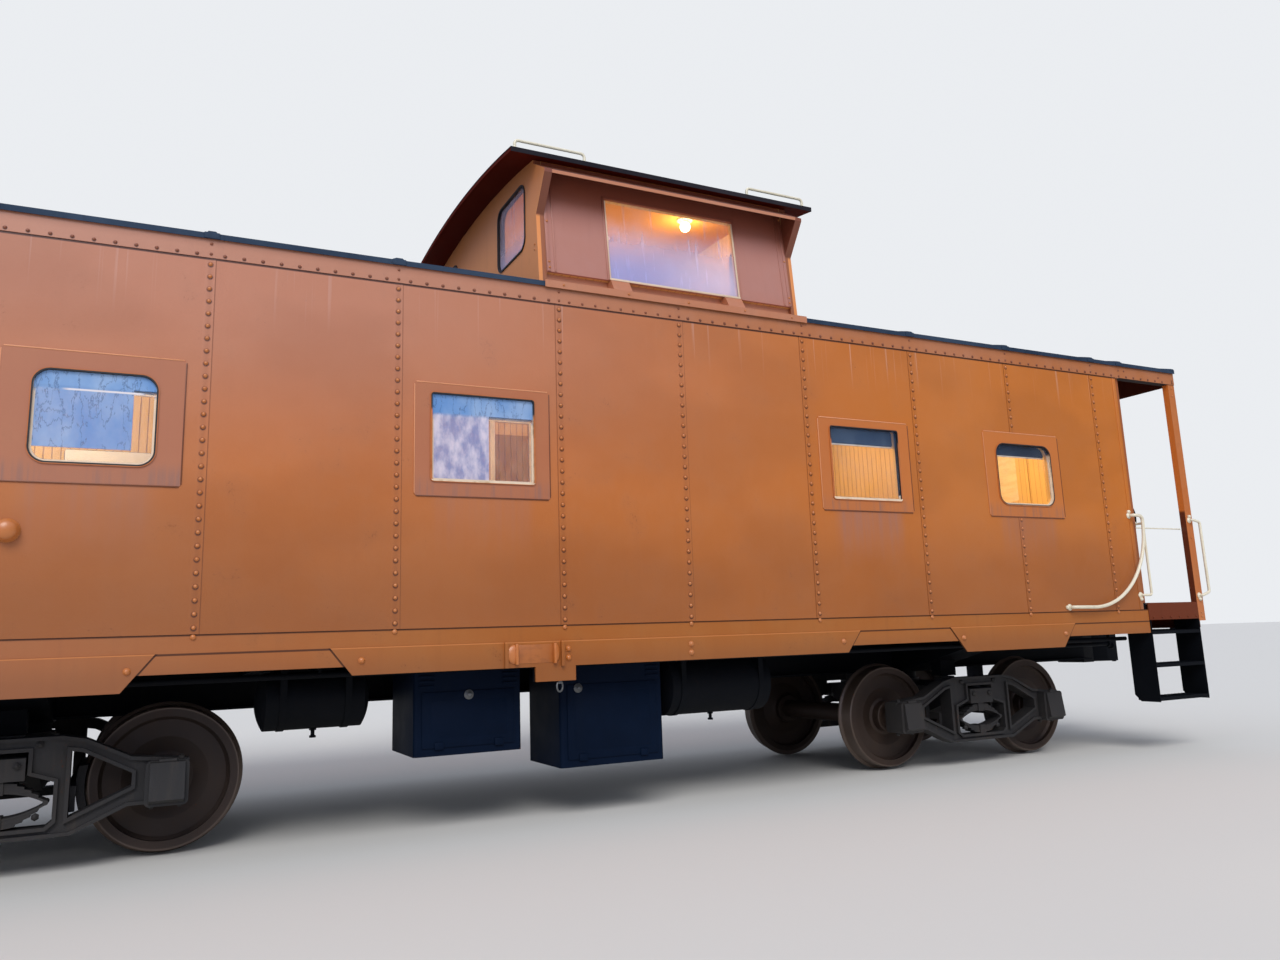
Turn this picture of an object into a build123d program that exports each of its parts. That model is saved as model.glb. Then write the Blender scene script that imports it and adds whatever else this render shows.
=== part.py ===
from build123d import *
import os
from math import asin, cos, radians, sin, sqrt

os.makedirs("parts", exist_ok=True)

# Steel caboose with a cupola, in millimetres.
# X runs along the car, Y across it, Z is up from the underside of the wheel flanges.
# The ends are called front (+X) and rear (-X), the sides right (-Y) and left (+Y).

ENDS = (("front", 1), ("rear", -1))
SIDES = (("right", -1), ("left", 1))

# Body
PANEL_W = 1120
MIDDLE_PANEL_W = 962
CORNER_PANEL_W = 343
PANELS_EACH_SIDE = 4
BODY_HALF_L = MIDDLE_PANEL_W / 2 + PANELS_EACH_SIDE * PANEL_W + CORNER_PANEL_W
BODY_HALF_W = 1525
WALL_T = 70
WALL_IN = BODY_HALF_W - WALL_T
END_WALL_INSET = 25
END_WALL_HALF_W = BODY_HALF_W - END_WALL_INSET
END_WALL_X = BODY_HALF_L + WALL_T
FLOOR_BOTTOM_Z = 1280
FLOOR_T = 60
FLOOR_Z = FLOOR_BOTTOM_Z + FLOOR_T
WALL_TOP_Z = 3497
LAP = 6
SEAT_GAP = 0.3

# Platform ends
PLATFORM_L = 816
END_HALF_L = END_WALL_X + PLATFORM_L
DECK_T = 8
CHANNEL_H = 158
CHANNEL_T = 8
CHANNEL_FLANGE = 50
END_BEAM_H = 240
POST_W = 95
POST_D = 60
POST_T = 8
POST_FOOT_Z = 1162
POST_X = END_HALF_L - POST_W
POST_IN = BODY_HALF_W - POST_D

# Roof
EAVE_Z = 3647
ROOF_T = 34
ROOF_RISE = 240
ROOF_HALF_W = BODY_HALF_W + 20
ROOF_R = (ROOF_HALF_W**2 + ROOF_RISE**2) / (2 * ROOF_RISE)
ROOF_CENTRE_Z = EAVE_Z + ROOF_RISE - ROOF_R
ROOF_END_LIP = 8
ROOF_HALF_L = END_HALF_L + ROOF_END_LIP
HOOD_END_T = 8

# Cupola: its widths follow the body, its heights follow the eaves
CUPOLA_X = 529
CUPOLA_HALF_L = 1117
CUPOLA_WALL_T = 60
CUPOLA_INSET = 80
CUPOLA_LEAN = 53
VISOR_REACH = 175
VISOR_DROP = 135
VISOR_T = 6
CUPOLA_TIP_H = 25
CUPOLA_H = 1023
CUPOLA_BASE_HALF_W = BODY_HALF_W - CUPOLA_INSET
CUPOLA_KINK_HALF_W = CUPOLA_BASE_HALF_W - CUPOLA_LEAN
CUPOLA_TIP_HALF_W = CUPOLA_KINK_HALF_W + VISOR_REACH
CUPOLA_ROOF_HALF_W = CUPOLA_BASE_HALF_W + 2
CUPOLA_WELL_HALF_W = CUPOLA_BASE_HALF_W - 145
CUPOLA_ROOF_EDGE_Z = EAVE_Z + CUPOLA_H
CUPOLA_WING_TOP_Z = CUPOLA_ROOF_EDGE_Z - 49
CUPOLA_TIP_Z = CUPOLA_WING_TOP_Z - VISOR_DROP
CUPOLA_KINK_Z = CUPOLA_TIP_Z - 276
CUPOLA_SIDE_BOTTOM_HALF_W = CUPOLA_BASE_HALF_W - 2
CUPOLA_SIDE_BOTTOM_Z = EAVE_Z + 118
CUPOLA_SIDE_LEAN = 6.3
CUPOLA_SIDE_T = 50
CUPOLA_ROOF_RISE = 120
CUPOLA_ROOF_T = 36
CUPOLA_ROOF_OVERHANG = 205
CUPOLA_ROOF_R = (CUPOLA_ROOF_HALF_W**2 + CUPOLA_ROOF_RISE**2) / (2 * CUPOLA_ROOF_RISE)
CUPOLA_ROOF_CENTRE_Z = CUPOLA_ROOF_EDGE_Z + CUPOLA_ROOF_RISE - CUPOLA_ROOF_R
SILL_RISER_HALF_W = CUPOLA_BASE_HALF_W - 45
SILL_FOOT_Z = EAVE_Z + 59
SILL_LIP_HALF_W = ROOF_HALF_W + 7
SILL_LIP_T = 6
SILL_LIP_TOP_Z = EAVE_Z + 10
SILL_LIP_BOTTOM_Z = EAVE_Z - 42
SILL_LEG_L = 150
SILL_LEG_D = 60

# Running gear
FLANGE_H = 25
WHEEL_R = 419
FLANGE_R = WHEEL_R + FLANGE_H
AXLE_Z = FLANGE_R
TRUCK_X = 3640
WHEELBASE = 1676
WHEEL_IN_Y = 676
RIM_W = 140
RIM_IN_R = 360
HUB_R = 130
HUB_IN_Y = 640
HUB_OUT_Y = 830
AXLE_R = 82
JOURNAL_R = 75
JOURNAL_IN_Y = 905
JOURNAL_OUT_Y = 1075
JOURNAL_CLEARANCE = 0.4
JOURNAL_END_GAP = 6
JOURNAL_BOX_HALF_W = 115
JOURNAL_BOX_UP = 130
JOURNAL_BOX_DOWN = 122
JOURNAL_BOX_OUT_Y = 1110
LID_HALF_W = 92
LID_TOP_D = 16
LID_BOTTOM_D = 42
LID_HINGE_R = 13
SIDE_FRAME_Y = 990
SIDE_FRAME_W = 130
CENTRE_PLATE_Z = 690
CENTRE_PLATE_R = 178
BOWL_CLEARANCE = 4
BOWL_RIM = 22
BOWL_H = 25
TRUCK_BOLSTER_HALF_W = 180
BOLSTER_END_HALF_W = 130
BOLSTER_END_Z = 520
SPRING_SEAT_Z = 262
SPRING_LEAVES = 5
LEAF_T = 11
LEAF_HALF_L = 235
LEAF_STEP = 35
LEAF_W = 110
LEAF_TRIM = 4
SPRING_BAND_T = 8
SPRING_BAND_HALF_L = 32
SPRING_EYE_R = 14
FRAME_RIM = 20
FRAME_RECESS = 24
SHOE_GAP = 8
SHOE_T = 45
SHOE_W = 90
BEAM_FOOT_T = 12

# Underframe
CENTRE_SILL_HALF_W = 180
CENTRE_SILL_BOTTOM_Z = 795
CENTRE_SILL_TOP_Z = 1110
CENTRE_SILL_T = 16
BEARER_T = 12
BEARER_FLANGE_W = 140
BEARER_INNER_Z = 1000
BEARER_XS = (-2300, -1150, 0, 1150, 2300)
BOLSTER_HALF_W = 200
BOLSTER_T = 16
SIDE_BEARING_Y = 635
SIDE_BEARING_CLEARANCE = 6
SIDE_BEARING_R = 60
TRUCK_SIDE_BEARING_Z = 740
SILL_TOP_Z = FLOOR_BOTTOM_Z
SILL_BOTTOM_Z = 1066
SILL_T = 10
SILL_OUT = BODY_HALF_W - LAP
DEEP_PLATE_TOP_Z = 1177
DEEP_PLATE_Z = 1015
BOLSTER_PLATE_Z = 976
COUPLER_Z = FLANGE_H + 876
COUPLER_SHANK_W = 130
COUPLER_SHANK_H = 150
COUPLER_L = 530

# Doors
DOOR_W = 762
DOOR_H = 1950
DOOR_T = 45
DOOR_GAP = 8
DOOR_STOP_W = 18
DOOR_STOP_GAP = 6
DOOR_WINDOW_W = 460
DOOR_WINDOW_H = 620
DOOR_WINDOW_Z = FLOOR_Z + 1450
HINGE_R = 9
HINGE_PIN_R = 4
HINGE_CLEARANCE = 0.3
HINGE_BARREL_H = 60
HINGE_ZS = (FLOOR_Z + 250, FLOOR_Z + 1000, FLOOR_Z + 1750)
HINGE_X = BODY_HALF_L - HINGE_R
HINGE_Y = DOOR_W / 2 + DOOR_GAP / 2

# Side windows, the same on both sides: middle x, middle z, glass width, glass height,
# corner radius, plate left x, plate right x, plate bottom z, plate top z
SIDE_WINDOWS = (
    (-3271, 2477, 603, 510, 83, -3733, -2824, 2109, 2846),
    (-1032, 2494, 690, 563, 12, -1490, -572, 2109, 2846),
    (2155, 2490, 677, 569, 12, 1701, 2617, 2109, 2846),
    (3941, 2480, 657, 528, 88, 3475, 4392, 2106, 2850),
)
GLASS_T = 8
RIM_T = 14
RIM_DEPTH = 40
RIM_PROUD = 8
PLATE_T = 5
PANE_GAP = 0.3

# Windows of the cupola: one in each side, two in each end
CUPOLA_WINDOW_W = 1132
CUPOLA_WINDOW_H = 661
CUPOLA_WINDOW_UP = 344
CUPOLA_WINDOW_R = 12
CUPOLA_END_WINDOW_Y = CUPOLA_BASE_HALF_W - 581
CUPOLA_END_WINDOW_Z = CUPOLA_SIDE_BOTTOM_Z + 535
CUPOLA_END_WINDOW_W = 597
CUPOLA_END_WINDOW_H = 504
CUPOLA_END_WINDOW_R = 85

# Round bars
GRAB_R = 15
CORNER_GRAB_R = 11
POST_GRAB_R = 13


def side_plane(side, inner, outer):
    """Upright plane along the car from which a plate reaches from inner to outer."""
    return Plane.XZ.offset(inner if side < 0 else -outer)


def cross_plane(x):
    """Upright plane across the car at x, its own x towards the left side, its y up."""
    return Plane(origin=(x, 0, 0), x_dir=(0, 1, 0), z_dir=(1, 0, 0))


def end_plane(end, inner, outer):
    """Upright plane across the car from which a plate reaches from inner to outer."""
    return cross_plane(inner if end > 0 else -outer)


def roof_under(y):
    """Height of the underside of the main roof."""
    return ROOF_CENTRE_Z + sqrt((ROOF_R - ROOF_T) ** 2 - y**2)


def cupola_roof_over(y):
    """Height of the top of the cupola roof."""
    return CUPOLA_ROOF_CENTRE_Z + sqrt(CUPOLA_ROOF_R**2 - y**2)


def cupola_roof_under(y):
    """Height of the underside of the cupola roof."""
    return CUPOLA_ROOF_CENTRE_Z + sqrt((CUPOLA_ROOF_R - CUPOLA_ROOF_T) ** 2 - y**2)


def bent_bar(points, bends, radius):
    """Round bar through the points, with one bend for each corner."""
    with BuildPart() as bar:
        with BuildLine() as path:
            FilletPolyline(*points, radius=bends)
        with BuildSketch(Plane(origin=path.line @ 0, z_dir=path.line % 0)):
            Circle(radius)
        sweep()
    return bar.part


def straight_bar(start, end, radius):
    """Round bar from start to end."""
    along = Vector(*end) - Vector(*start)
    with BuildPart() as bar:
        with BuildSketch(Plane(origin=start, z_dir=along)):
            Circle(radius)
        extrude(amount=along.length)
    return bar.part


def arched_sheet(radius, thickness, centre_z, half_w, x_from, x_to):
    """Sheet curved across the car, cut off upright at both sides."""
    edge_out = centre_z + sqrt(radius**2 - half_w**2)
    edge_in = centre_z + sqrt((radius - thickness) ** 2 - half_w**2)
    with BuildPart() as sheet:
        with BuildSketch(cross_plane(x_from)):
            with BuildLine():
                ThreePointArc((-half_w, edge_out), (0, centre_z + radius), (half_w, edge_out))
                Line((half_w, edge_out), (half_w, edge_in))
                ThreePointArc(
                    (half_w, edge_in), (0, centre_z + radius - thickness), (-half_w, edge_in)
                )
                Line((-half_w, edge_in), (-half_w, edge_out))
            make_face()
        extrude(amount=x_to - x_from)
    return sheet.part


# Floor, notched round the side walls
with BuildPart() as floor:
    with BuildSketch(Plane.XY.offset(FLOOR_BOTTOM_Z)):
        Rectangle(2 * END_WALL_X, 2 * WALL_IN)
        for name, end in ENDS:
            with Locations((end * (BODY_HALF_L + WALL_T / 2), 0)):
                Rectangle(WALL_T, 2 * END_WALL_HALF_W)
    extrude(amount=FLOOR_T)
floor.part.label = "floor"
export_step(floor.part, "parts/floor.step")

# Side walls, sheet, studs and lining in one thickness, with the windows cut
for name, side in SIDES:
    with BuildPart() as side_wall:
        with BuildSketch(side_plane(side, WALL_IN, BODY_HALF_W)):
            with Locations((0, (SILL_TOP_Z + WALL_TOP_Z) / 2)):
                Rectangle(2 * BODY_HALF_L, WALL_TOP_Z - SILL_TOP_Z)
            for x, z, w, h, r, *plate in SIDE_WINDOWS:
                with Locations((x, z)):
                    RectangleRounded(
                        w + 2 * RIM_T, h + 2 * RIM_T, r + RIM_T, mode=Mode.SUBTRACT
                    )
        extrude(amount=WALL_T)
    side_wall.part.label = f"side_wall_{name}"
    export_step(side_wall.part, f"parts/side_wall_{name}.step")

# Letterboards, the top side plates, which run on over both platforms
with BuildPart() as letterboards:
    for name, side in SIDES:
        with BuildSketch(cross_plane(-END_HALF_L)):
            with BuildLine():
                Polyline(
                    (side * WALL_IN, WALL_TOP_Z),
                    (side * (BODY_HALF_W + LAP), WALL_TOP_Z),
                    (side * (BODY_HALF_W + LAP), roof_under(BODY_HALF_W + LAP) - SEAT_GAP),
                    (side * WALL_IN, roof_under(WALL_IN) - SEAT_GAP),
                    close=True,
                )
            make_face()
        extrude(amount=2 * END_HALF_L)
letterboards.part.label = "letterboards"
export_step(letterboards.part, "parts/letterboards.step")

# Arched end plates of the hoods, between the letterboards
hood_r = ROOF_R - ROOF_T - SEAT_GAP
hood_side_z = ROOF_CENTRE_Z + sqrt(hood_r**2 - WALL_IN**2)
with BuildPart() as hood_ends:
    for name, end in ENDS:
        with BuildSketch(end_plane(end, END_HALF_L - HOOD_END_T, END_HALF_L)):
            with BuildLine():
                Polyline(
                    (WALL_IN, hood_side_z),
                    (WALL_IN, WALL_TOP_Z),
                    (-WALL_IN, WALL_TOP_Z),
                    (-WALL_IN, hood_side_z),
                )
                ThreePointArc(
                    (-WALL_IN, hood_side_z), (0, ROOF_CENTRE_Z + hood_r), (WALL_IN, hood_side_z)
                )
            make_face()
        extrude(amount=HOOD_END_T)
hood_ends.part.label = "hood_ends"
export_step(hood_ends.part, "parts/hood_ends.step")

# Side sills, channels with deep plates below the floor and jacking pads.
# The middle deep plate sits at the middle of the car, the other two at the trucks.
# Each plate: middle x, half length at the top, half length at the bottom, bottom z
DEEP_PLATES = (
    (0, 1978, 1850, DEEP_PLATE_Z),
    (-TRUCK_X, 733, 572, BOLSTER_PLATE_Z),
    (TRUCK_X, 733, 572, BOLSTER_PLATE_Z),
)
PAD_X = -552
PAD_W = 281
PAD_H = 95
PAD_D = 56
POCKET_RIB_XS = (-894, -507)
POCKET_RIB_W = 22
POCKET_RIB_PROUD = 22
with BuildPart() as side_sills:
    for name, side in SIDES:
        with BuildSketch(cross_plane(-END_WALL_X)):
            with BuildLine():
                Polyline(
                    (side * WALL_IN, SILL_TOP_Z),
                    (side * SILL_OUT, SILL_TOP_Z),
                    (side * SILL_OUT, SILL_BOTTOM_Z),
                    (side * WALL_IN, SILL_BOTTOM_Z),
                    (side * WALL_IN, SILL_BOTTOM_Z + SILL_T),
                    (side * (SILL_OUT - SILL_T), SILL_BOTTOM_Z + SILL_T),
                    (side * (SILL_OUT - SILL_T), SILL_TOP_Z - SILL_T),
                    (side * WALL_IN, SILL_TOP_Z - SILL_T),
                    close=True,
                )
            make_face()
        extrude(amount=2 * END_WALL_X)
        with BuildSketch(side_plane(side, SILL_OUT - SILL_T, BODY_HALF_W)):
            for x, top_half, bottom_half, bottom_z in DEEP_PLATES:
                with BuildLine():
                    Polyline(
                        (x - top_half, DEEP_PLATE_TOP_Z),
                        (x - bottom_half, bottom_z),
                        (x + bottom_half, bottom_z),
                        (x + top_half, DEEP_PLATE_TOP_Z),
                        close=True,
                    )
                make_face()
        extrude(amount=SILL_T + LAP)
        with BuildSketch(side_plane(side, BODY_HALF_W - PAD_D, BODY_HALF_W)):
            with Locations((PAD_X, DEEP_PLATE_Z - PAD_H / 2)):
                Rectangle(PAD_W, PAD_H)
        extrude(amount=PAD_D)
        with BuildSketch(side_plane(side, BODY_HALF_W, BODY_HALF_W + POCKET_RIB_PROUD)):
            for x in POCKET_RIB_XS:
                with Locations((x, (DEEP_PLATE_Z + DEEP_PLATE_TOP_Z) / 2)):
                    Rectangle(POCKET_RIB_W, DEEP_PLATE_TOP_Z - DEEP_PLATE_Z)
        extrude(amount=POCKET_RIB_PROUD)
side_sills.part.label = "side_sills"
export_step(side_sills.part, "parts/side_sills.step")

# Centre sill, a channel open below, from end to end
SILL_LIP_Y = CENTRE_SILL_HALF_W + 90
with BuildPart() as centre_sill:
    with BuildSketch(cross_plane(-POST_X)):
        with BuildLine():
            for side in (1, -1):
                Polyline(
                    (0, CENTRE_SILL_TOP_Z + CENTRE_SILL_T),
                    (side * CENTRE_SILL_HALF_W, CENTRE_SILL_TOP_Z + CENTRE_SILL_T),
                    (side * CENTRE_SILL_HALF_W, CENTRE_SILL_BOTTOM_Z + CENTRE_SILL_T),
                    (side * SILL_LIP_Y, CENTRE_SILL_BOTTOM_Z + CENTRE_SILL_T),
                    (side * SILL_LIP_Y, CENTRE_SILL_BOTTOM_Z),
                    (side * (CENTRE_SILL_HALF_W - CENTRE_SILL_T), CENTRE_SILL_BOTTOM_Z),
                    (side * (CENTRE_SILL_HALF_W - CENTRE_SILL_T), CENTRE_SILL_TOP_Z),
                    (0, CENTRE_SILL_TOP_Z),
                )
        make_face()
    extrude(amount=2 * POST_X)
centre_sill.part.label = "centre_sill"
export_step(centre_sill.part, "parts/centre_sill.step")

# Cross bearers from the centre sill to the side sills, a web with a bottom flange
BEARER_OUTER_Z = SILL_BOTTOM_Z + SILL_T
with BuildPart() as cross_bearers:
    for x in BEARER_XS:
        for side in (1, -1):
            with BuildSketch(cross_plane(x - BEARER_T / 2)):
                with BuildLine():
                    Polyline(
                        (side * WALL_IN, FLOOR_BOTTOM_Z),
                        (side * WALL_IN, BEARER_OUTER_Z),
                        (side * CENTRE_SILL_HALF_W, BEARER_INNER_Z),
                        (side * CENTRE_SILL_HALF_W, FLOOR_BOTTOM_Z),
                        close=True,
                    )
                make_face()
            extrude(amount=BEARER_T)
            with BuildSketch(cross_plane(x - BEARER_FLANGE_W / 2)):
                with BuildLine():
                    Polyline(
                        (side * WALL_IN, BEARER_OUTER_Z),
                        (side * CENTRE_SILL_HALF_W, BEARER_INNER_Z),
                        (side * CENTRE_SILL_HALF_W, BEARER_INNER_Z + BEARER_T),
                        (side * WALL_IN, BEARER_OUTER_Z + BEARER_T),
                        close=True,
                    )
                make_face()
            extrude(amount=BEARER_FLANGE_W)
cross_bearers.part.label = "cross_bearers"
export_step(cross_bearers.part, "parts/cross_bearers.step")

# Body bolsters over the trucks, tapered boxes round the centre sill, with the
# centre plate below it and a side bearing pad near each end
PAD_BEARING_Z = TRUCK_SIDE_BEARING_Z + SIDE_BEARING_CLEARANCE
BOLSTER_INNER_Z = CENTRE_SILL_BOTTOM_Z - BOLSTER_T
with BuildPart() as body_bolsters:
    for name, end in ENDS:
        with BuildSketch(cross_plane(end * TRUCK_X - BOLSTER_HALF_W)):
            with BuildLine():
                for side in (1, -1):
                    Polyline(
                        (0, CENTRE_SILL_BOTTOM_Z),
                        (side * SILL_LIP_Y, CENTRE_SILL_BOTTOM_Z),
                        (side * SILL_LIP_Y, CENTRE_SILL_BOTTOM_Z + CENTRE_SILL_T),
                        (side * CENTRE_SILL_HALF_W, CENTRE_SILL_BOTTOM_Z + CENTRE_SILL_T),
                        (side * CENTRE_SILL_HALF_W, FLOOR_BOTTOM_Z),
                        (side * WALL_IN, FLOOR_BOTTOM_Z),
                        (side * WALL_IN, BEARER_OUTER_Z),
                        (side * SILL_LIP_Y, BOLSTER_INNER_Z),
                        (0, BOLSTER_INNER_Z),
                    )
            make_face()
        extrude(amount=2 * BOLSTER_HALF_W)
        with BuildSketch(Plane(origin=(end * TRUCK_X, 0, CENTRE_PLATE_Z + SEAT_GAP))):
            Circle(CENTRE_PLATE_R)
        extrude(amount=BOLSTER_INNER_Z - CENTRE_PLATE_Z - SEAT_GAP)
        with BuildSketch(Plane(origin=(end * TRUCK_X, 0, PAD_BEARING_Z))):
            with Locations((0, SIDE_BEARING_Y), (0, -SIDE_BEARING_Y)):
                Rectangle(3 * SIDE_BEARING_R, 2 * SIDE_BEARING_R)
        extrude(amount=CENTRE_SILL_TOP_Z - PAD_BEARING_Z)
body_bolsters.part.label = "body_bolsters"
export_step(body_bolsters.part, "parts/body_bolsters.step")

# End walls with the doorway, its stop and the fixed half of the door hinges
OPENING_W = DOOR_W + 2 * DOOR_GAP
OPENING_TOP_Z = FLOOR_Z + DOOR_H + 2 * DOOR_GAP
STOP_X = BODY_HALF_L + DOOR_T + DOOR_STOP_GAP
for name, end in ENDS:
    with BuildPart() as end_wall:
        for inner, outer, trim in (
            (BODY_HALF_L, STOP_X, 0),
            (STOP_X, END_WALL_X, DOOR_STOP_W),
        ):
            with BuildSketch(end_plane(end, inner, outer)):
                with BuildLine():
                    Polyline(
                        (WALL_IN, hood_side_z),
                        (WALL_IN, WALL_TOP_Z),
                        (END_WALL_HALF_W, WALL_TOP_Z),
                        (END_WALL_HALF_W, FLOOR_Z),
                        (-END_WALL_HALF_W, FLOOR_Z),
                        (-END_WALL_HALF_W, WALL_TOP_Z),
                        (-WALL_IN, WALL_TOP_Z),
                        (-WALL_IN, hood_side_z),
                    )
                    ThreePointArc(
                        (-WALL_IN, hood_side_z),
                        (0, ROOF_CENTRE_Z + hood_r),
                        (WALL_IN, hood_side_z),
                    )
                make_face()
                with Locations((0, (FLOOR_Z + OPENING_TOP_Z - trim) / 2)):
                    Rectangle(
                        OPENING_W - 2 * trim, OPENING_TOP_Z - trim - FLOOR_Z, mode=Mode.SUBTRACT
                    )
            extrude(amount=outer - inner)
        for z in HINGE_ZS:
            with BuildSketch(Plane.XY.offset(z)):
                with Locations((end * HINGE_X, end * HINGE_Y)):
                    Circle(HINGE_R)
                with Locations((end * HINGE_X, end * (HINGE_Y + 20))):
                    Rectangle(2 * HINGE_R, 40)
            extrude(amount=HINGE_BARREL_H)
            with BuildSketch(Plane.XY.offset(z - HINGE_BARREL_H)):
                with Locations((end * HINGE_X, end * HINGE_Y)):
                    Circle(HINGE_PIN_R)
            extrude(amount=HINGE_BARREL_H)
    end_wall.part.label = f"end_wall_{name}"
    export_step(end_wall.part, f"parts/end_wall_{name}.step")

# End doors, hung on three hinges and swinging inwards
for name, end in ENDS:
    with BuildPart() as door:
        with BuildSketch(end_plane(end, BODY_HALF_L, BODY_HALF_L + DOOR_T)):
            with Locations((0, FLOOR_Z + DOOR_GAP + DOOR_H / 2)):
                Rectangle(DOOR_W, DOOR_H)
            with Locations((0, DOOR_WINDOW_Z)):
                RectangleRounded(DOOR_WINDOW_W, DOOR_WINDOW_H, 20, mode=Mode.SUBTRACT)
        extrude(amount=DOOR_T)
        panel_plane = end_plane(end, BODY_HALF_L + DOOR_T - 12, BODY_HALF_L + DOOR_T)
        with BuildSketch(panel_plane):
            with Locations((0, FLOOR_Z + 520)):
                RectangleRounded(DOOR_WINDOW_W, 700, 20)
        extrude(amount=12, mode=Mode.SUBTRACT)
        for z in HINGE_ZS:
            with BuildSketch(Plane.XY.offset(z - HINGE_BARREL_H - 1)):
                with Locations((end * HINGE_X, end * HINGE_Y)):
                    Circle(HINGE_R)
                with Locations((end * HINGE_X, end * (HINGE_Y - 20))):
                    Rectangle(2 * HINGE_R, 40)
                with Locations((end * HINGE_X, end * HINGE_Y)):
                    Circle(HINGE_PIN_R + HINGE_CLEARANCE, mode=Mode.SUBTRACT)
            extrude(amount=HINGE_BARREL_H)
    door.part.label = f"door_{name}"
    export_step(door.part, f"parts/door_{name}.step")

    with BuildPart() as door_glass:
        middle = BODY_HALF_L + DOOR_T / 2
        with BuildSketch(end_plane(end, middle - GLASS_T / 2, middle + GLASS_T / 2)):
            with Locations((0, DOOR_WINDOW_Z)):
                RectangleRounded(DOOR_WINDOW_W - 2 * PANE_GAP, DOOR_WINDOW_H - 2 * PANE_GAP, 19.7)
        extrude(amount=GLASS_T)
    door_glass.part.label = f"door_glass_{name}"
    export_step(door_glass.part, f"parts/door_glass_{name}.step")

# Main roof, an arched sheet over the body and both platforms before and behind the
# cupola, and a narrow strip beside the cupola on each side
WELL_X0 = CUPOLA_X - CUPOLA_HALF_L + CUPOLA_WALL_T
WELL_X1 = CUPOLA_X + CUPOLA_HALF_L - CUPOLA_WALL_T
roof_sheets = (
    arched_sheet(ROOF_R, ROOF_T, ROOF_CENTRE_Z, ROOF_HALF_W, -ROOF_HALF_L, WELL_X0),
    arched_sheet(ROOF_R, ROOF_T, ROOF_CENTRE_Z, ROOF_HALF_W, WELL_X1, ROOF_HALF_L),
)
with BuildPart() as roof:
    for sheet in roof_sheets:
        add(sheet)
roof.part.label = "roof"
export_step(roof.part, "parts/roof.step")

with BuildPart() as roof_strips:
    add(arched_sheet(ROOF_R, ROOF_T, ROOF_CENTRE_Z, ROOF_HALF_W, WELL_X0, WELL_X1))
    with BuildSketch(Plane.XY.offset(EAVE_Z - 100)):
        with Locations((CUPOLA_X, 0)):
            Rectangle(2 * CUPOLA_HALF_L, 2 * CUPOLA_WELL_HALF_W)
    extrude(amount=2 * ROOF_RISE, mode=Mode.SUBTRACT)
roof_strips.part.label = "roof_strips"
export_step(roof_strips.part, "parts/roof_strips.step")

# Window plates, rims and panes of the side walls
with BuildPart() as window_plates:
    for name, side in SIDES:
        with BuildSketch(side_plane(side, BODY_HALF_W, BODY_HALF_W + PLATE_T)):
            for x, z, w, h, r, left, right, bottom, top in SIDE_WINDOWS:
                with Locations(((left + right) / 2, (bottom + top) / 2)):
                    RectangleRounded(right - left, top - bottom, 14)
            for x, z, w, h, r, *plate in SIDE_WINDOWS:
                with Locations((x, z)):
                    RectangleRounded(
                        w + 2 * RIM_T, h + 2 * RIM_T, r + RIM_T, mode=Mode.SUBTRACT
                    )
        extrude(amount=PLATE_T)
window_plates.part.label = "window_plates"
export_step(window_plates.part, "parts/window_plates.step")

# Cupola ends, standing on the main roof, each with wings that carry the visors
cupola_inner_r = CUPOLA_ROOF_R - CUPOLA_ROOF_T - SEAT_GAP
side_tangent = sin(radians(CUPOLA_SIDE_LEAN)) / cos(radians(CUPOLA_SIDE_LEAN))


def cupola_side_half_w(z):
    """Distance of the outer face of the leaning cupola side from the middle."""
    return CUPOLA_SIDE_BOTTOM_HALF_W - (z - CUPOLA_SIDE_BOTTOM_Z) * side_tangent


CUPOLA_WING_TOP_HALF_W = cupola_side_half_w(CUPOLA_WING_TOP_Z)
with BuildPart() as cupola_ends:
    for name, end in ENDS:
        x_from = CUPOLA_X + (CUPOLA_HALF_L - CUPOLA_WALL_T if end > 0 else -CUPOLA_HALF_L)
        with BuildSketch(cross_plane(x_from)):
            with BuildLine():
                for side in (1, -1):
                    Polyline(
                        (0, EAVE_Z - 100),
                        (side * CUPOLA_BASE_HALF_W, EAVE_Z - 100),
                        (side * CUPOLA_KINK_HALF_W, CUPOLA_KINK_Z),
                        (side * CUPOLA_TIP_HALF_W, CUPOLA_TIP_Z - CUPOLA_TIP_H),
                        (side * CUPOLA_TIP_HALF_W, CUPOLA_TIP_Z),
                        (side * CUPOLA_WING_TOP_HALF_W, CUPOLA_WING_TOP_Z),
                        (side * CUPOLA_WING_TOP_HALF_W, CUPOLA_ROOF_EDGE_Z + 2 * CUPOLA_ROOF_RISE),
                        (0, CUPOLA_ROOF_EDGE_Z + 2 * CUPOLA_ROOF_RISE),
                    )
            make_face()
            with Locations((0, CUPOLA_ROOF_CENTRE_Z)):
                Circle(cupola_inner_r, mode=Mode.INTERSECT)
            with Locations((0, ROOF_CENTRE_Z)):
                Circle(ROOF_R + SEAT_GAP, mode=Mode.SUBTRACT)
            for side in (1, -1):
                with Locations((side * CUPOLA_END_WINDOW_Y, CUPOLA_END_WINDOW_Z)):
                    RectangleRounded(
                        CUPOLA_END_WINDOW_W + 2 * RIM_T,
                        CUPOLA_END_WINDOW_H + 2 * RIM_T,
                        CUPOLA_END_WINDOW_R + RIM_T,
                        mode=Mode.SUBTRACT,
                    )
        extrude(amount=CUPOLA_WALL_T)
cupola_ends.part.label = "cupola_ends"
export_step(cupola_ends.part, "parts/cupola_ends.step")

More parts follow.
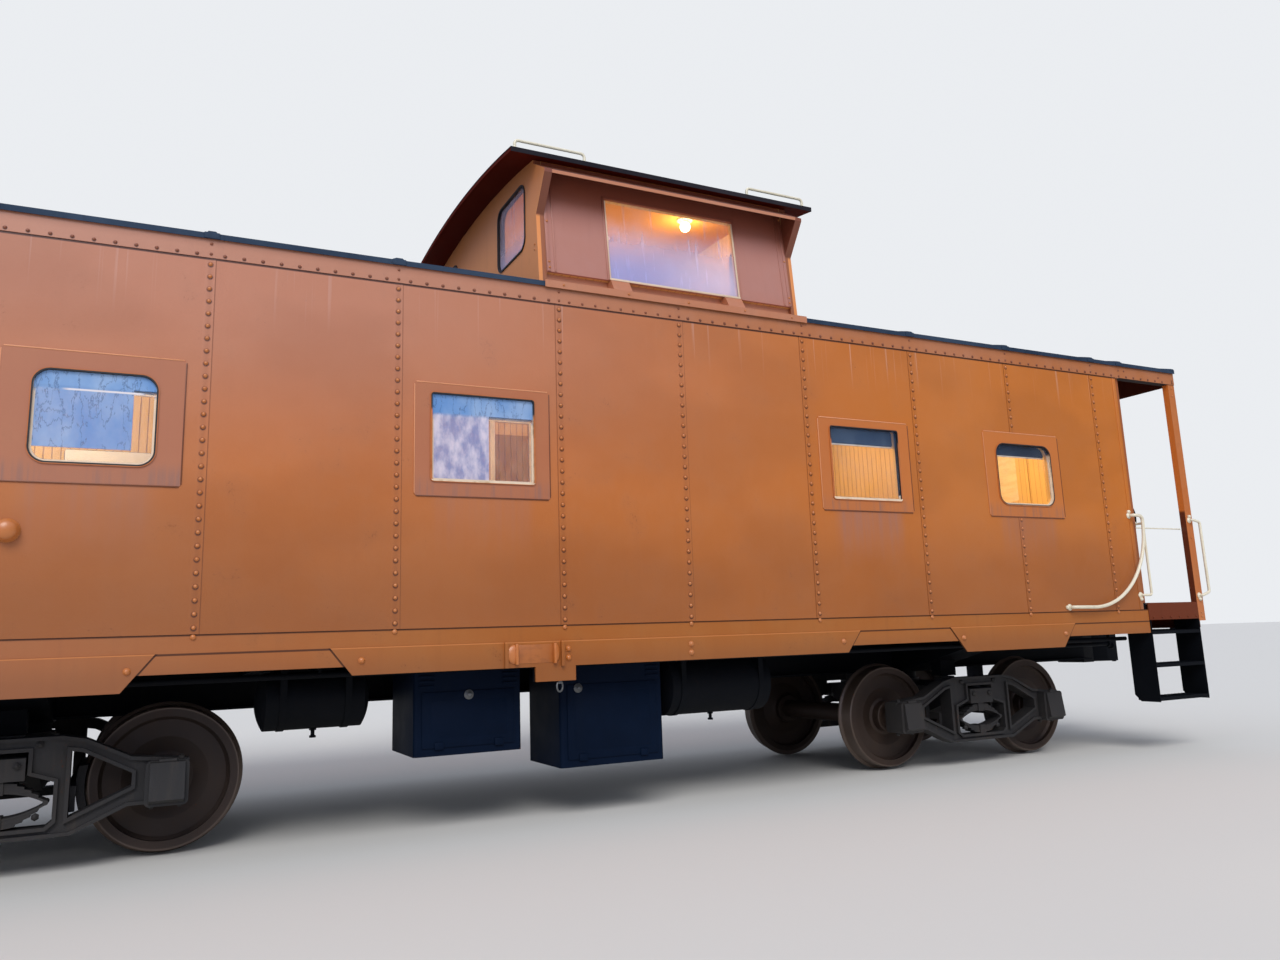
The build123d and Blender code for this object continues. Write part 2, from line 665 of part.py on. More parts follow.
# Cupola sides, leaning in, each with one wide window
SIDE_HALF_L = CUPOLA_HALF_L - CUPOLA_WALL_T
side_top_z = cupola_roof_under(CUPOLA_WING_TOP_HALF_W) - SEAT_GAP
SIDE_SLOPE_H = (side_top_z - CUPOLA_SIDE_BOTTOM_Z) / cos(radians(CUPOLA_SIDE_LEAN))
side_planes = []
for name, side in SIDES:
    side_planes.append(
        Plane(
            origin=(CUPOLA_X, side * CUPOLA_SIDE_BOTTOM_HALF_W, CUPOLA_SIDE_BOTTOM_Z),
            x_dir=(-side, 0, 0),
            z_dir=(
                0,
                side * cos(radians(CUPOLA_SIDE_LEAN)),
                sin(radians(CUPOLA_SIDE_LEAN)),
            ),
        )
    )
with BuildPart() as cupola_sides:
    for plane in side_planes:
        with BuildSketch(plane):
            with Locations((0, SIDE_SLOPE_H / 2)):
                Rectangle(2 * SIDE_HALF_L, SIDE_SLOPE_H)
            with Locations((0, CUPOLA_WINDOW_UP)):
                RectangleRounded(
                    CUPOLA_WINDOW_W, CUPOLA_WINDOW_H, CUPOLA_WINDOW_R, mode=Mode.SUBTRACT
                )
        extrude(amount=-CUPOLA_SIDE_T)
cupola_sides.part.label = "cupola_sides"
export_step(cupola_sides.part, "parts/cupola_sides.step")

# Rubber rims of the side windows and of the cupola end windows
RIM_OUT = BODY_HALF_W + PLATE_T + RIM_PROUD
RIM_SEAT = 10
with BuildPart() as window_rims:
    for name, side in SIDES:
        with BuildSketch(side_plane(side, RIM_OUT - RIM_DEPTH, RIM_OUT)):
            for x, z, w, h, r, *plate in SIDE_WINDOWS:
                with Locations((x, z)):
                    RectangleRounded(
                        w + 2 * (RIM_T - SEAT_GAP),
                        h + 2 * (RIM_T - SEAT_GAP),
                        r + RIM_T - SEAT_GAP,
                    )
                    RectangleRounded(w, h, r, mode=Mode.SUBTRACT)
        extrude(amount=RIM_DEPTH)
    for end in (1, -1):
        x_from = CUPOLA_X + (SIDE_HALF_L + RIM_SEAT if end > 0 else -CUPOLA_HALF_L - RIM_PROUD)
        with BuildSketch(cross_plane(x_from)):
            for side in (1, -1):
                with Locations((side * CUPOLA_END_WINDOW_Y, CUPOLA_END_WINDOW_Z)):
                    RectangleRounded(
                        CUPOLA_END_WINDOW_W + 2 * (RIM_T - SEAT_GAP),
                        CUPOLA_END_WINDOW_H + 2 * (RIM_T - SEAT_GAP),
                        CUPOLA_END_WINDOW_R + RIM_T - SEAT_GAP,
                    )
                    RectangleRounded(
                        CUPOLA_END_WINDOW_W,
                        CUPOLA_END_WINDOW_H,
                        CUPOLA_END_WINDOW_R,
                        mode=Mode.SUBTRACT,
                    )
        extrude(amount=CUPOLA_WALL_T - RIM_SEAT + RIM_PROUD)
window_rims.part.label = "window_rims"
export_step(window_rims.part, "parts/window_rims.step")

# Panes of the side windows and of the cupola
PANE_OUT = RIM_OUT - 16
CUPOLA_PANE_DEPTH = 18
with BuildPart() as window_glass:
    for name, side in SIDES:
        with BuildSketch(side_plane(side, PANE_OUT - GLASS_T, PANE_OUT)):
            for x, z, w, h, r, *plate in SIDE_WINDOWS:
                with Locations((x, z)):
                    RectangleRounded(w - 2 * PANE_GAP, h - 2 * PANE_GAP, r - PANE_GAP)
        extrude(amount=GLASS_T)
    for plane in side_planes:
        with BuildSketch(plane.offset(-CUPOLA_PANE_DEPTH)):
            with Locations((0, CUPOLA_WINDOW_UP)):
                RectangleRounded(
                    CUPOLA_WINDOW_W - 2 * PANE_GAP,
                    CUPOLA_WINDOW_H - 2 * PANE_GAP,
                    CUPOLA_WINDOW_R - PANE_GAP,
                )
        extrude(amount=-GLASS_T)
    for end in (1, -1):
        x_glass = CUPOLA_X + end * (CUPOLA_HALF_L - CUPOLA_PANE_DEPTH) - GLASS_T / 2
        with BuildSketch(cross_plane(x_glass)):
            for side in (1, -1):
                with Locations((side * CUPOLA_END_WINDOW_Y, CUPOLA_END_WINDOW_Z)):
                    RectangleRounded(
                        CUPOLA_END_WINDOW_W - 2 * PANE_GAP,
                        CUPOLA_END_WINDOW_H - 2 * PANE_GAP,
                        CUPOLA_END_WINDOW_R - PANE_GAP,
                    )
        extrude(amount=GLASS_T)
window_glass.part.label = "window_glass"
export_step(window_glass.part, "parts/window_glass.step")

# Sills under the cupola sides: riser, sloping apron and lip over the roof edge,
# with two short legs under the corners of the window
with BuildPart() as cupola_sills:
    for name, side in SIDES:
        riser_top_z = CUPOLA_SIDE_BOTTOM_Z - CUPOLA_SIDE_T * sin(radians(CUPOLA_SIDE_LEAN))
        with BuildSketch(cross_plane(CUPOLA_X - CUPOLA_HALF_L + CUPOLA_WALL_T)):
            with BuildLine():
                Polyline(
                    (side * (SILL_RISER_HALF_W - 40), EAVE_Z - 100),
                    (side * (SILL_RISER_HALF_W - 40), riser_top_z),
                    (side * SILL_RISER_HALF_W, riser_top_z),
                    (side * SILL_RISER_HALF_W, SILL_FOOT_Z),
                    (side * SILL_LIP_HALF_W, SILL_LIP_TOP_Z),
                    (side * SILL_LIP_HALF_W, EAVE_Z - 100),
                    close=True,
                )
            make_face()
            with Locations((0, ROOF_CENTRE_Z)):
                Circle(ROOF_R + SEAT_GAP, mode=Mode.SUBTRACT)
        extrude(amount=2 * SIDE_HALF_L)
        with BuildSketch(cross_plane(CUPOLA_X - CUPOLA_HALF_L)):
            with BuildLine():
                Polyline(
                    (side * SILL_LIP_HALF_W, SILL_LIP_TOP_Z),
                    (side * SILL_LIP_HALF_W, SILL_LIP_BOTTOM_Z),
                    (side * (SILL_LIP_HALF_W - SILL_LIP_T), SILL_LIP_BOTTOM_Z),
                    (side * (SILL_LIP_HALF_W - SILL_LIP_T), SILL_LIP_TOP_Z),
                    close=True,
                )
            make_face()
        extrude(amount=2 * CUPOLA_HALF_L)
        leg_x = CUPOLA_WINDOW_W / 2 - SILL_LEG_L
        for x_from in (CUPOLA_X - CUPOLA_WINDOW_W / 2, CUPOLA_X + leg_x):
            with BuildSketch(cross_plane(x_from)):
                with BuildLine():
                    Polyline(
                        (side * SILL_RISER_HALF_W, SILL_FOOT_Z),
                        (side * SILL_RISER_HALF_W, riser_top_z),
                        (side * (SILL_RISER_HALF_W + SILL_LEG_D), riser_top_z),
                        (side * (SILL_RISER_HALF_W + 2 * SILL_LEG_D), SILL_LIP_TOP_Z),
                        close=True,
                    )
                make_face()
            extrude(amount=SILL_LEG_L)
cupola_sills.part.label = "cupola_sills"
export_step(cupola_sills.part, "parts/cupola_sills.step")

# Visors over the cupola windows, between the wings of the ends
visor_fall = (CUPOLA_WING_TOP_Z - CUPOLA_TIP_Z) / (CUPOLA_TIP_HALF_W - CUPOLA_WING_TOP_HALF_W)
with BuildPart() as cupola_visors:
    for name, side in SIDES:
        low_half_w = cupola_side_half_w(CUPOLA_WING_TOP_Z - VISOR_T)
        with BuildSketch(cross_plane(CUPOLA_X - SIDE_HALF_L)):
            with BuildLine():
                Polyline(
                    (side * CUPOLA_WING_TOP_HALF_W, CUPOLA_WING_TOP_Z),
                    (side * CUPOLA_TIP_HALF_W, CUPOLA_TIP_Z),
                    (side * CUPOLA_TIP_HALF_W, CUPOLA_TIP_Z - CUPOLA_TIP_H),
                    (side * (CUPOLA_TIP_HALF_W - VISOR_T), CUPOLA_TIP_Z - CUPOLA_TIP_H),
                    (
                        side * (CUPOLA_TIP_HALF_W - VISOR_T),
                        CUPOLA_TIP_Z - VISOR_T + VISOR_T * visor_fall,
                    ),
                    (side * low_half_w, CUPOLA_WING_TOP_Z - VISOR_T),
                    close=True,
                )
            make_face()
        extrude(amount=2 * SIDE_HALF_L)
cupola_visors.part.label = "cupola_visors"
export_step(cupola_visors.part, "parts/cupola_visors.step")

# Cupola roof
CUPOLA_ROOF_HALF_L = CUPOLA_HALF_L + CUPOLA_ROOF_OVERHANG
cupola_sheet = arched_sheet(
    CUPOLA_ROOF_R,
    CUPOLA_ROOF_T,
    CUPOLA_ROOF_CENTRE_Z,
    CUPOLA_ROOF_HALF_W,
    CUPOLA_X - CUPOLA_ROOF_HALF_L,
    CUPOLA_X + CUPOLA_ROOF_HALF_L,
)
with BuildPart() as cupola_roof:
    add(cupola_sheet)
cupola_roof.part.label = "cupola_roof"
export_step(cupola_roof.part, "parts/cupola_roof.step")

# Platforms: deck plate, side channels, end beam, stringers and coupler striker
STRIKER_L = 60
STRIKER_HALF_W = 170
STRIKER_BOTTOM_Z = 760
DECK_EDGE = BODY_HALF_W - CHANNEL_T
DECK_BOTTOM_Z = FLOOR_Z - DECK_T
for name, end in ENDS:
    with BuildPart() as platform:
        with BuildSketch(Plane.XY.offset(DECK_BOTTOM_Z)):
            with Locations((end * (END_WALL_X + POST_X) / 2, 0)):
                Rectangle(POST_X - END_WALL_X, 2 * BODY_HALF_W)
            with Locations((end * (POST_X + END_HALF_L) / 2, 0)):
                Rectangle(POST_W, 2 * POST_IN)
        extrude(amount=DECK_T)
        for side in (1, -1):
            with BuildSketch(end_plane(end, END_WALL_X, POST_X)):
                with BuildLine():
                    Polyline(
                        (side * BODY_HALF_W, DECK_BOTTOM_Z),
                        (side * BODY_HALF_W, FLOOR_Z - CHANNEL_H),
                        (side * (DECK_EDGE - CHANNEL_FLANGE), FLOOR_Z - CHANNEL_H),
                        (side * (DECK_EDGE - CHANNEL_FLANGE), FLOOR_Z - CHANNEL_H + CHANNEL_T),
                        (side * DECK_EDGE, FLOOR_Z - CHANNEL_H + CHANNEL_T),
                        (side * DECK_EDGE, DECK_BOTTOM_Z),
                        close=True,
                    )
                make_face()
            extrude(amount=POST_X - END_WALL_X)
            with BuildSketch(end_plane(end, END_WALL_X, POST_X)):
                with Locations((side * (CENTRE_SILL_HALF_W - CENTRE_SILL_T / 2), 0)):
                    with Locations((0, (CENTRE_SILL_TOP_Z + CENTRE_SILL_T + DECK_BOTTOM_Z) / 2)):
                        Rectangle(
                            CENTRE_SILL_T, DECK_BOTTOM_Z - CENTRE_SILL_TOP_Z - CENTRE_SILL_T
                        )
            extrude(amount=POST_X - END_WALL_X)
        beam_z = FLOOR_Z - END_BEAM_H
        with BuildSketch(Plane.XZ.offset(-POST_IN)):
            with BuildLine():
                Polyline(
                    (end * END_HALF_L, DECK_BOTTOM_Z),
                    (end * END_HALF_L, beam_z),
                    (end * POST_X, beam_z),
                    (end * POST_X, beam_z + POST_T),
                    (end * (END_HALF_L - POST_T), beam_z + POST_T),
                    (end * (END_HALF_L - POST_T), DECK_BOTTOM_Z),
                    close=True,
                )
            make_face()
        extrude(amount=2 * POST_IN)
        with BuildSketch(end_plane(end, POST_X, END_HALF_L + STRIKER_L)):
            with Locations((0, (STRIKER_BOTTOM_Z + beam_z) / 2)):
                Rectangle(2 * STRIKER_HALF_W, beam_z - STRIKER_BOTTOM_Z)
            with Locations((0, COUPLER_Z + 10)):
                Rectangle(COUPLER_SHANK_W + 40, COUPLER_SHANK_H + 20, mode=Mode.SUBTRACT)
        extrude(amount=POST_W + STRIKER_L)
    platform.part.label = f"platform_{name}"
    export_step(platform.part, f"parts/platform_{name}.step")

# Steps under the side channels: two hanging side plates with three treads between
STEP_BOTTOM_Z = 440
STEP_DEPTH = 255
STEP_T = 8
STEP_TREAD_ZS = (450, 750, 1050)
STEP_TREAD_T = 30
STEP_TREAD_DEPTH = 230
STEP_IN = BODY_HALF_W - STEP_DEPTH
STEP_X_IN = END_WALL_X + 8
STEP_X_OUT = POST_X - 4
with BuildPart() as step_sides:
    for name, end in ENDS:
        for side in (1, -1):
            for inner in (STEP_X_IN, STEP_X_OUT - STEP_T):
                with BuildSketch(end_plane(end, inner, inner + STEP_T)):
                    with BuildLine():
                        Polyline(
                            (side * BODY_HALF_W, FLOOR_Z - CHANNEL_H),
                            (side * STEP_IN, FLOOR_Z - CHANNEL_H),
                            (side * STEP_IN, STEP_BOTTOM_Z + 60),
                            (side * (STEP_IN + 60), STEP_BOTTOM_Z),
                            (side * BODY_HALF_W, STEP_BOTTOM_Z),
                            close=True,
                        )
                    make_face()
                extrude(amount=STEP_T)
step_sides.part.label = "step_sides"
export_step(step_sides.part, "parts/step_sides.step")

with BuildPart() as step_treads:
    tread_x = (STEP_X_IN + STEP_X_OUT) / 2
    tread_y = BODY_HALF_W - STEP_TREAD_DEPTH / 2
    for z in STEP_TREAD_ZS:
        with BuildSketch(Plane.XY.offset(z)):
            for name, end in ENDS:
                with Locations((end * tread_x, tread_y), (end * tread_x, -tread_y)):
                    Rectangle(STEP_X_OUT - STEP_X_IN - 2 * STEP_T, STEP_TREAD_DEPTH)
        extrude(amount=STEP_TREAD_T)
step_treads.part.label = "step_treads"
export_step(step_treads.part, "parts/step_treads.step")

# Corner posts of the platforms, channels open towards the middle
with BuildPart() as end_posts:
    for name, end in ENDS:
        for side in (1, -1):
            with BuildSketch(Plane.XY.offset(POST_FOOT_Z)):
                with BuildLine():
                    Polyline(
                        (end * POST_X, side * POST_IN),
                        (end * POST_X, side * BODY_HALF_W),
                        (end * END_HALF_L, side * BODY_HALF_W),
                        (end * END_HALF_L, side * POST_IN),
                        (end * (END_HALF_L - POST_T), side * POST_IN),
                        (end * (END_HALF_L - POST_T), side * (BODY_HALF_W - POST_T)),
                        (end * (POST_X + POST_T), side * (BODY_HALF_W - POST_T)),
                        (end * (POST_X + POST_T), side * POST_IN),
                        close=True,
                    )
                make_face()
            extrude(amount=WALL_TOP_Z - POST_FOOT_Z)
end_posts.part.label = "end_posts"
export_step(end_posts.part, "parts/end_posts.step")

# End railings with the roof ladder on one side of each end
RAIL_X = END_HALF_L - 45
RAIL_R = 17
RAIL_IN_Y = 330
RAIL_OUT_Y = 900
RAIL_ZS = (FLOOR_Z + 350, FLOOR_Z + 700, FLOOR_Z + 1040)
LADDER_YS = (480, 880)
LADDER_T = 12
LADDER_W = 50
LADDER_TOP_Z = EAVE_Z + 110
LADDER_RUNG_R = 10
LADDER_RUNG_PITCH = 300
rail_bars = []
for name, end in ENDS:
    for side in (1, -1):
        for y in (RAIL_IN_Y, RAIL_OUT_Y):
            rail_bars.append(
                straight_bar(
                    (end * RAIL_X, side * y, FLOOR_Z),
                    (end * RAIL_X, side * y, RAIL_ZS[-1] + 2 * RAIL_R),
                    RAIL_R + 3,
                )
            )
        for z in RAIL_ZS:
            rail_bars.append(
                straight_bar(
                    (end * RAIL_X, side * RAIL_IN_Y, z), (end * RAIL_X, side * RAIL_OUT_Y, z), RAIL_R
                )
            )
with BuildPart() as end_railings:
    for bar in rail_bars:
        add(bar)
end_railings.part.label = "end_railings"
export_step(end_railings.part, "parts/end_railings.step")

ladder_rungs = []
for name, end in ENDS:
    for step in range(8):
        z = FLOOR_Z + 150 + step * LADDER_RUNG_PITCH
        x = end * (END_HALF_L + LADDER_W / 2)
        ladder_rungs.append(
            straight_bar((x, end * LADDER_YS[0], z), (x, end * LADDER_YS[1], z), LADDER_RUNG_R)
        )
with BuildPart() as ladders:
    for name, end in ENDS:
        with BuildSketch(Plane.XY.offset(FLOOR_Z - END_BEAM_H + 20)):
            for y in LADDER_YS:
                with Locations((end * (END_HALF_L + LADDER_W / 2), end * y)):
                    Rectangle(LADDER_W, LADDER_T)
        extrude(amount=LADDER_TOP_Z - FLOOR_Z + END_BEAM_H - 20)
    for rung in ladder_rungs:
        add(rung)
ladders.part.label = "ladders"
export_step(ladders.part, "parts/ladders.step")

# Hand brake wheels on their stands, on the other side of each end
BRAKE_Y = 620
BRAKE_Z = FLOOR_Z + 900
BRAKE_WHEEL_R = 270
BRAKE_RIM_R = 14
BRAKE_SPOKES = 5
BRAKE_SPOKE_T = 14
with BuildPart() as brake_wheels:
    for name, end in ENDS:
        with BuildSketch(Plane.XY.offset(FLOOR_Z)):
            with Locations((end * (RAIL_X - 70), -end * BRAKE_Y)):
                Rectangle(90, 130)
        extrude(amount=BRAKE_Z + 120 - FLOOR_Z)
        with BuildSketch(end_plane(end, RAIL_X - 80, END_HALF_L + 60)):
            with Locations((-end * BRAKE_Y, BRAKE_Z)):
                Circle(35)
        extrude(amount=END_HALF_L + 60 - RAIL_X + 80)
        rim_x = END_HALF_L + 50
        with BuildSketch(Plane.XZ.offset(end * BRAKE_Y)):
            with Locations((end * rim_x, BRAKE_Z + BRAKE_WHEEL_R - BRAKE_RIM_R)):
                Circle(BRAKE_RIM_R)
        revolve(axis=Axis((0, -end * BRAKE_Y, BRAKE_Z), (1, 0, 0)))
        spoke_reach = BRAKE_WHEEL_R - BRAKE_RIM_R
        with BuildSketch(end_plane(end, rim_x - BRAKE_SPOKE_T / 2, rim_x + BRAKE_SPOKE_T / 2)):
            with Locations((-end * BRAKE_Y, BRAKE_Z)):
                with PolarLocations(spoke_reach / 2, BRAKE_SPOKES):
                    Trapezoid(30, spoke_reach, 92, rotation=-90)
        extrude(amount=BRAKE_SPOKE_T)
brake_wheels.part.label = "brake_wheels"
export_step(brake_wheels.part, "parts/brake_wheels.step")

# Couplers: shank through the striker, head with guard arm and closed knuckle
HEAD_H = 280
HEAD_CORNER_R = 8
KNUCKLE_PIN_R = 22
KNUCKLE_PIN_PROUD = 12
with BuildPart() as couplers:
    for name, end in ENDS:
        with BuildSketch(end_plane(end, POST_X - 200, END_HALF_L + 200)):
            with Locations((0, COUPLER_Z)):
                Rectangle(COUPLER_SHANK_W, COUPLER_SHANK_H)
        extrude(amount=POST_W + 400)
        x0 = END_HALF_L + 150
        with BuildSketch(Plane.XY.offset(COUPLER_Z - HEAD_H / 2)) as head:
            with BuildLine():
                Polyline(
                    (end * x0, end * 65),
                    (end * (x0 + 70), end * 120),
                    (end * (x0 + 190), end * 165),
                    (end * (x0 + 380), end * 190),
                    (end * (x0 + 380), end * 130),
                    (end * (x0 + 250), end * 90),
                    (end * (x0 + 215), end * 10),
                    (end * (x0 + 230), end * -40),
                    (end * (x0 + 330), end * -40),
                    (end * (x0 + 350), end * -10),
                    (end * (x0 + 380), end * -20),
                    (end * (x0 + 375), end * -110),
                    (end * (x0 + 300), end * -170),
                    (end * (x0 + 150), end * -160),
                    (end * x0, end * -65),
                    close=True,
                )
            make_face()
            fillet(head.vertices(), HEAD_CORNER_R)
        extrude(amount=HEAD_H)
        with BuildSketch(Plane.XY.offset(COUPLER_Z - HEAD_H / 2 - KNUCKLE_PIN_PROUD)):
            with Locations((end * (x0 + 330), end * -95)):
                Circle(KNUCKLE_PIN_R)
        extrude(amount=HEAD_H + 2 * KNUCKLE_PIN_PROUD)
couplers.part.label = "couplers"
export_step(couplers.part, "parts/couplers.step")

# Grab irons: a curved one and a straight one by each corner, one on each corner
# post, a guard bar over each stairway and a rail near each cupola roof corner
GRAB_OUT = BODY_HALF_W + 60
GRAB_FOOT_X = END_WALL_X - 1050
GRAB_X = END_WALL_X - 11
GRAB_BACK_X = END_WALL_X - 119
GRAB_FOOT_Z = FLOOR_Z - 25
GRAB_TOP_Z = FLOOR_Z + 812
CORNER_OUT = BODY_HALF_W + 35
CORNER_BACK_X = END_WALL_X - 89
CORNER_X = END_WALL_X + 24
CORNER_FOOT_Z = FLOOR_Z + 71
CORNER_TOP_Z = FLOOR_Z + 740
POST_GRAB_OUT = BODY_HALF_W + 38
POST_GRAB_IN_X = END_HALF_L - 50
POST_GRAB_X = END_HALF_L + 56
POST_GRAB_FOOT_Z = FLOOR_Z + 60
POST_GRAB_TOP_Z = FLOOR_Z + 790
GUARD_Z = FLOOR_Z + 710
GUARD_R = 6
grab_bars = []
for end in (1, -1):
    for side in (1, -1):
        grab_bars.append(
            bent_bar(
                (
                    (end * GRAB_FOOT_X, side * BODY_HALF_W, GRAB_FOOT_Z),
                    (end * GRAB_FOOT_X, side * GRAB_OUT, GRAB_FOOT_Z),
                    (end * GRAB_X, side * GRAB_OUT, GRAB_FOOT_Z - 15),
                    (end * GRAB_X, side * GRAB_OUT, GRAB_TOP_Z - 7),
                    (end * GRAB_BACK_X, side * GRAB_OUT, GRAB_TOP_Z),
                    (end * GRAB_BACK_X, side * BODY_HALF_W, GRAB_TOP_Z),
                ),
                (35, 780, 40, 35),
                GRAB_R,
            )
        )
        grab_bars.append(
            bent_bar(
                (
                    (end * CORNER_BACK_X, side * BODY_HALF_W, CORNER_FOOT_Z),
                    (end * CORNER_BACK_X, side * CORNER_OUT, CORNER_FOOT_Z),
                    (end * CORNER_X, side * CORNER_OUT, CORNER_FOOT_Z),
                    (end * CORNER_X, side * CORNER_OUT, CORNER_TOP_Z),
                    (end * CORNER_X, side * (END_WALL_HALF_W - 20), CORNER_TOP_Z),
                    (end * END_WALL_X, side * (END_WALL_HALF_W - 20), CORNER_TOP_Z),
                ),
                (16, 25, 25, 16),
                CORNER_GRAB_R,
            )
        )
        grab_bars.append(
            bent_bar(
                (
                    (end * POST_GRAB_IN_X, side * BODY_HALF_W, POST_GRAB_TOP_Z),
                    (end * POST_GRAB_IN_X, side * POST_GRAB_OUT, POST_GRAB_TOP_Z),
                    (end * (POST_GRAB_X - 6), side * POST_GRAB_OUT, POST_GRAB_TOP_Z - 18),
                    (end * POST_GRAB_X, side * POST_GRAB_OUT, POST_GRAB_FOOT_Z + 32),
                    (end * POST_GRAB_IN_X, side * POST_GRAB_OUT, POST_GRAB_FOOT_Z),
                    (end * POST_GRAB_IN_X, side * BODY_HALF_W, POST_GRAB_FOOT_Z),
                ),
                (18, 28, 28, 18),
                POST_GRAB_R,
            )
        )
        grab_bars.append(
            straight_bar(
                (end * (END_WALL_X + SEAT_GAP), side * (END_WALL_HALF_W - 50), GUARD_Z),
                (end * POST_X, side * (END_WALL_HALF_W - 50), GUARD_Z),
                GUARD_R,
            )
        )
        rail_y = side * (CUPOLA_ROOF_HALF_W - 60)
        rail_z = cupola_roof_over(abs(rail_y) - CORNER_GRAB_R)
        rail_x0 = CUPOLA_X + end * (CUPOLA_ROOF_HALF_L - 50)
        rail_x1 = CUPOLA_X + end * (CUPOLA_ROOF_HALF_L - 600)
        grab_bars.append(
            bent_bar(
                (
                    (rail_x0, rail_y, rail_z),
                    (rail_x0, rail_y, rail_z + 75),
                    (rail_x1, rail_y, rail_z + 75),
                    (rail_x1, rail_y, rail_z),
                ),
                (30, 30),
                CORNER_GRAB_R,
            )
        )
with BuildPart() as grab_irons:
    for bar in grab_bars:
        add(bar)
grab_irons.part.label = "grab_irons"
export_step(grab_irons.part, "parts/grab_irons.step")

# Boxes and tanks hung under the floor
# Each box: x from, x to, bottom z
BOXES = (
    (-407, 380, 330),
    (-1407, -687, 480),
)
BOX_OUT_Y = -(BODY_HALF_W - 294)
BOX_IN_Y = BOX_OUT_Y + 611
BOX_TOP_Z = 1008
HANGER_INSET = 60
HANGER_W = 50
with BuildPart() as equipment_boxes:
    for x0, x1, z0 in BOXES:
        with BuildSketch(Plane.XY.offset(z0)):
            with Locations(((x0 + x1) / 2, (BOX_OUT_Y + BOX_IN_Y) / 2)):
                RectangleRounded(x1 - x0, BOX_IN_Y - BOX_OUT_Y, 25)
        extrude(amount=BOX_TOP_Z - z0)
        with BuildSketch(Plane.XY.offset(BOX_TOP_Z)):
            for x in (x0 + HANGER_INSET, x1 - HANGER_INSET):
                for y in (BOX_OUT_Y + HANGER_INSET, BOX_IN_Y - HANGER_INSET):
                    with Locations((x, y)):
                        Rectangle(HANGER_W, HANGER_W)
        extrude(amount=FLOOR_BOTTOM_Z - BOX_TOP_Z)
equipment_boxes.part.label = "equipment_boxes"
export_step(equipment_boxes.part, "parts/equipment_boxes.step")

# Air tanks and the brake cylinder, hung by straps from the floor
# Each: x from, x to, y, z, radius, depth of the domed ends
TANKS = (
    (425, 1395, 525 - BODY_HALF_W, 822, 215, 60),
    (-2340, -1655, 505 - BODY_HALF_W, 865, 175, 50),
    (500, 1900, BODY_HALF_W - 525, 830, 205, 60),
    (-1700, -1250, BODY_HALF_W - 625, 860, 160, 25),
)
STRAP_W = 40
STRAP_T = 6
STRAP_INSET = 130
ROD_END_L = 260
ROD_R = 25
with BuildPart() as air_tanks:
    for x0, x1, y, z, r, dome in TANKS:
        dome_r = (r**2 + dome**2) / (2 * dome)
        half_turn = asin(r / dome_r) / 2
        in_x = dome_r - dome_r * cos(half_turn)
        in_r = dome_r * sin(half_turn)
        with BuildSketch(Plane(origin=(0, y, z), x_dir=(1, 0, 0), z_dir=(0, -1, 0))):
            with BuildLine():
                Line((x0, 0), (x1, 0))
                ThreePointArc((x1, 0), (x1 - in_x, in_r), (x1 - dome, r))
                Line((x1 - dome, r), (x0 + dome, r))
                ThreePointArc((x0 + dome, r), (x0 + in_x, in_r), (x0, 0))
            make_face()
        revolve(axis=Axis((0, y, z), (1, 0, 0)))
        for x in (x0 + STRAP_INSET, x1 - STRAP_INSET - STRAP_W):
            with BuildSketch(cross_plane(x)):
                with Locations((y, z)):
                    Circle(r + STRAP_T)
                for hand in (1, -1):
                    with Locations((y + hand * (r + STRAP_T / 2), (z + FLOOR_BOTTOM_Z) / 2)):
                        Rectangle(STRAP_T, FLOOR_BOTTOM_Z - z)
            extrude(amount=STRAP_W)
    x0, x1, y, z, r, dome = TANKS[-1]
    with BuildSketch(cross_plane(x0 - ROD_END_L)):
        with Locations((y, z)):
            Circle(ROD_R)
    extrude(amount=ROD_END_L + dome)
air_tanks.part.label = "air_tanks"
export_step(air_tanks.part, "parts/air_tanks.step")

# Partitions across the body, with a doorway in the middle
PARTITION_T = 40
PARTITION_XS = (-2450, 3100)
PARTITION_GAP = 8
PARTITION_TOP_Z = WALL_TOP_Z - 25
PASSAGE_W = 700
with BuildPart() as partitions:
    for x in PARTITION_XS:
        with BuildSketch(cross_plane(x - PARTITION_T / 2)):
            with Locations((0, (FLOOR_Z + PARTITION_TOP_Z) / 2)):
                Rectangle(2 * (WALL_IN - PARTITION_GAP), PARTITION_TOP_Z - FLOOR_Z)
            with Locations((0, FLOOR_Z + DOOR_H / 2)):
                Rectangle(PASSAGE_W, DOOR_H, mode=Mode.SUBTRACT)
        extrude(amount=PARTITION_T)
partitions.part.label = "partitions"
export_step(partitions.part, "parts/partitions.step")

# Ceiling lamps, one in the cupola and two in the body
LAMP_R = 130
LAMP_H = 60
LAMP_XS = (-3900, 4200)
with BuildPart() as lamps:
    for x, top_z in ((CUPOLA_X, cupola_roof_under(LAMP_R)),) + tuple(
        (x, roof_under(LAMP_R)) for x in LAMP_XS
    ):
        with BuildSketch(Plane.XY.offset(top_z - SEAT_GAP)):
            with Locations((x, 0)):
                Circle(LAMP_R)
        extrude(amount=-LAMP_H, taper=20)
lamps.part.label = "lamps"
export_step(lamps.part, "parts/lamps.step")

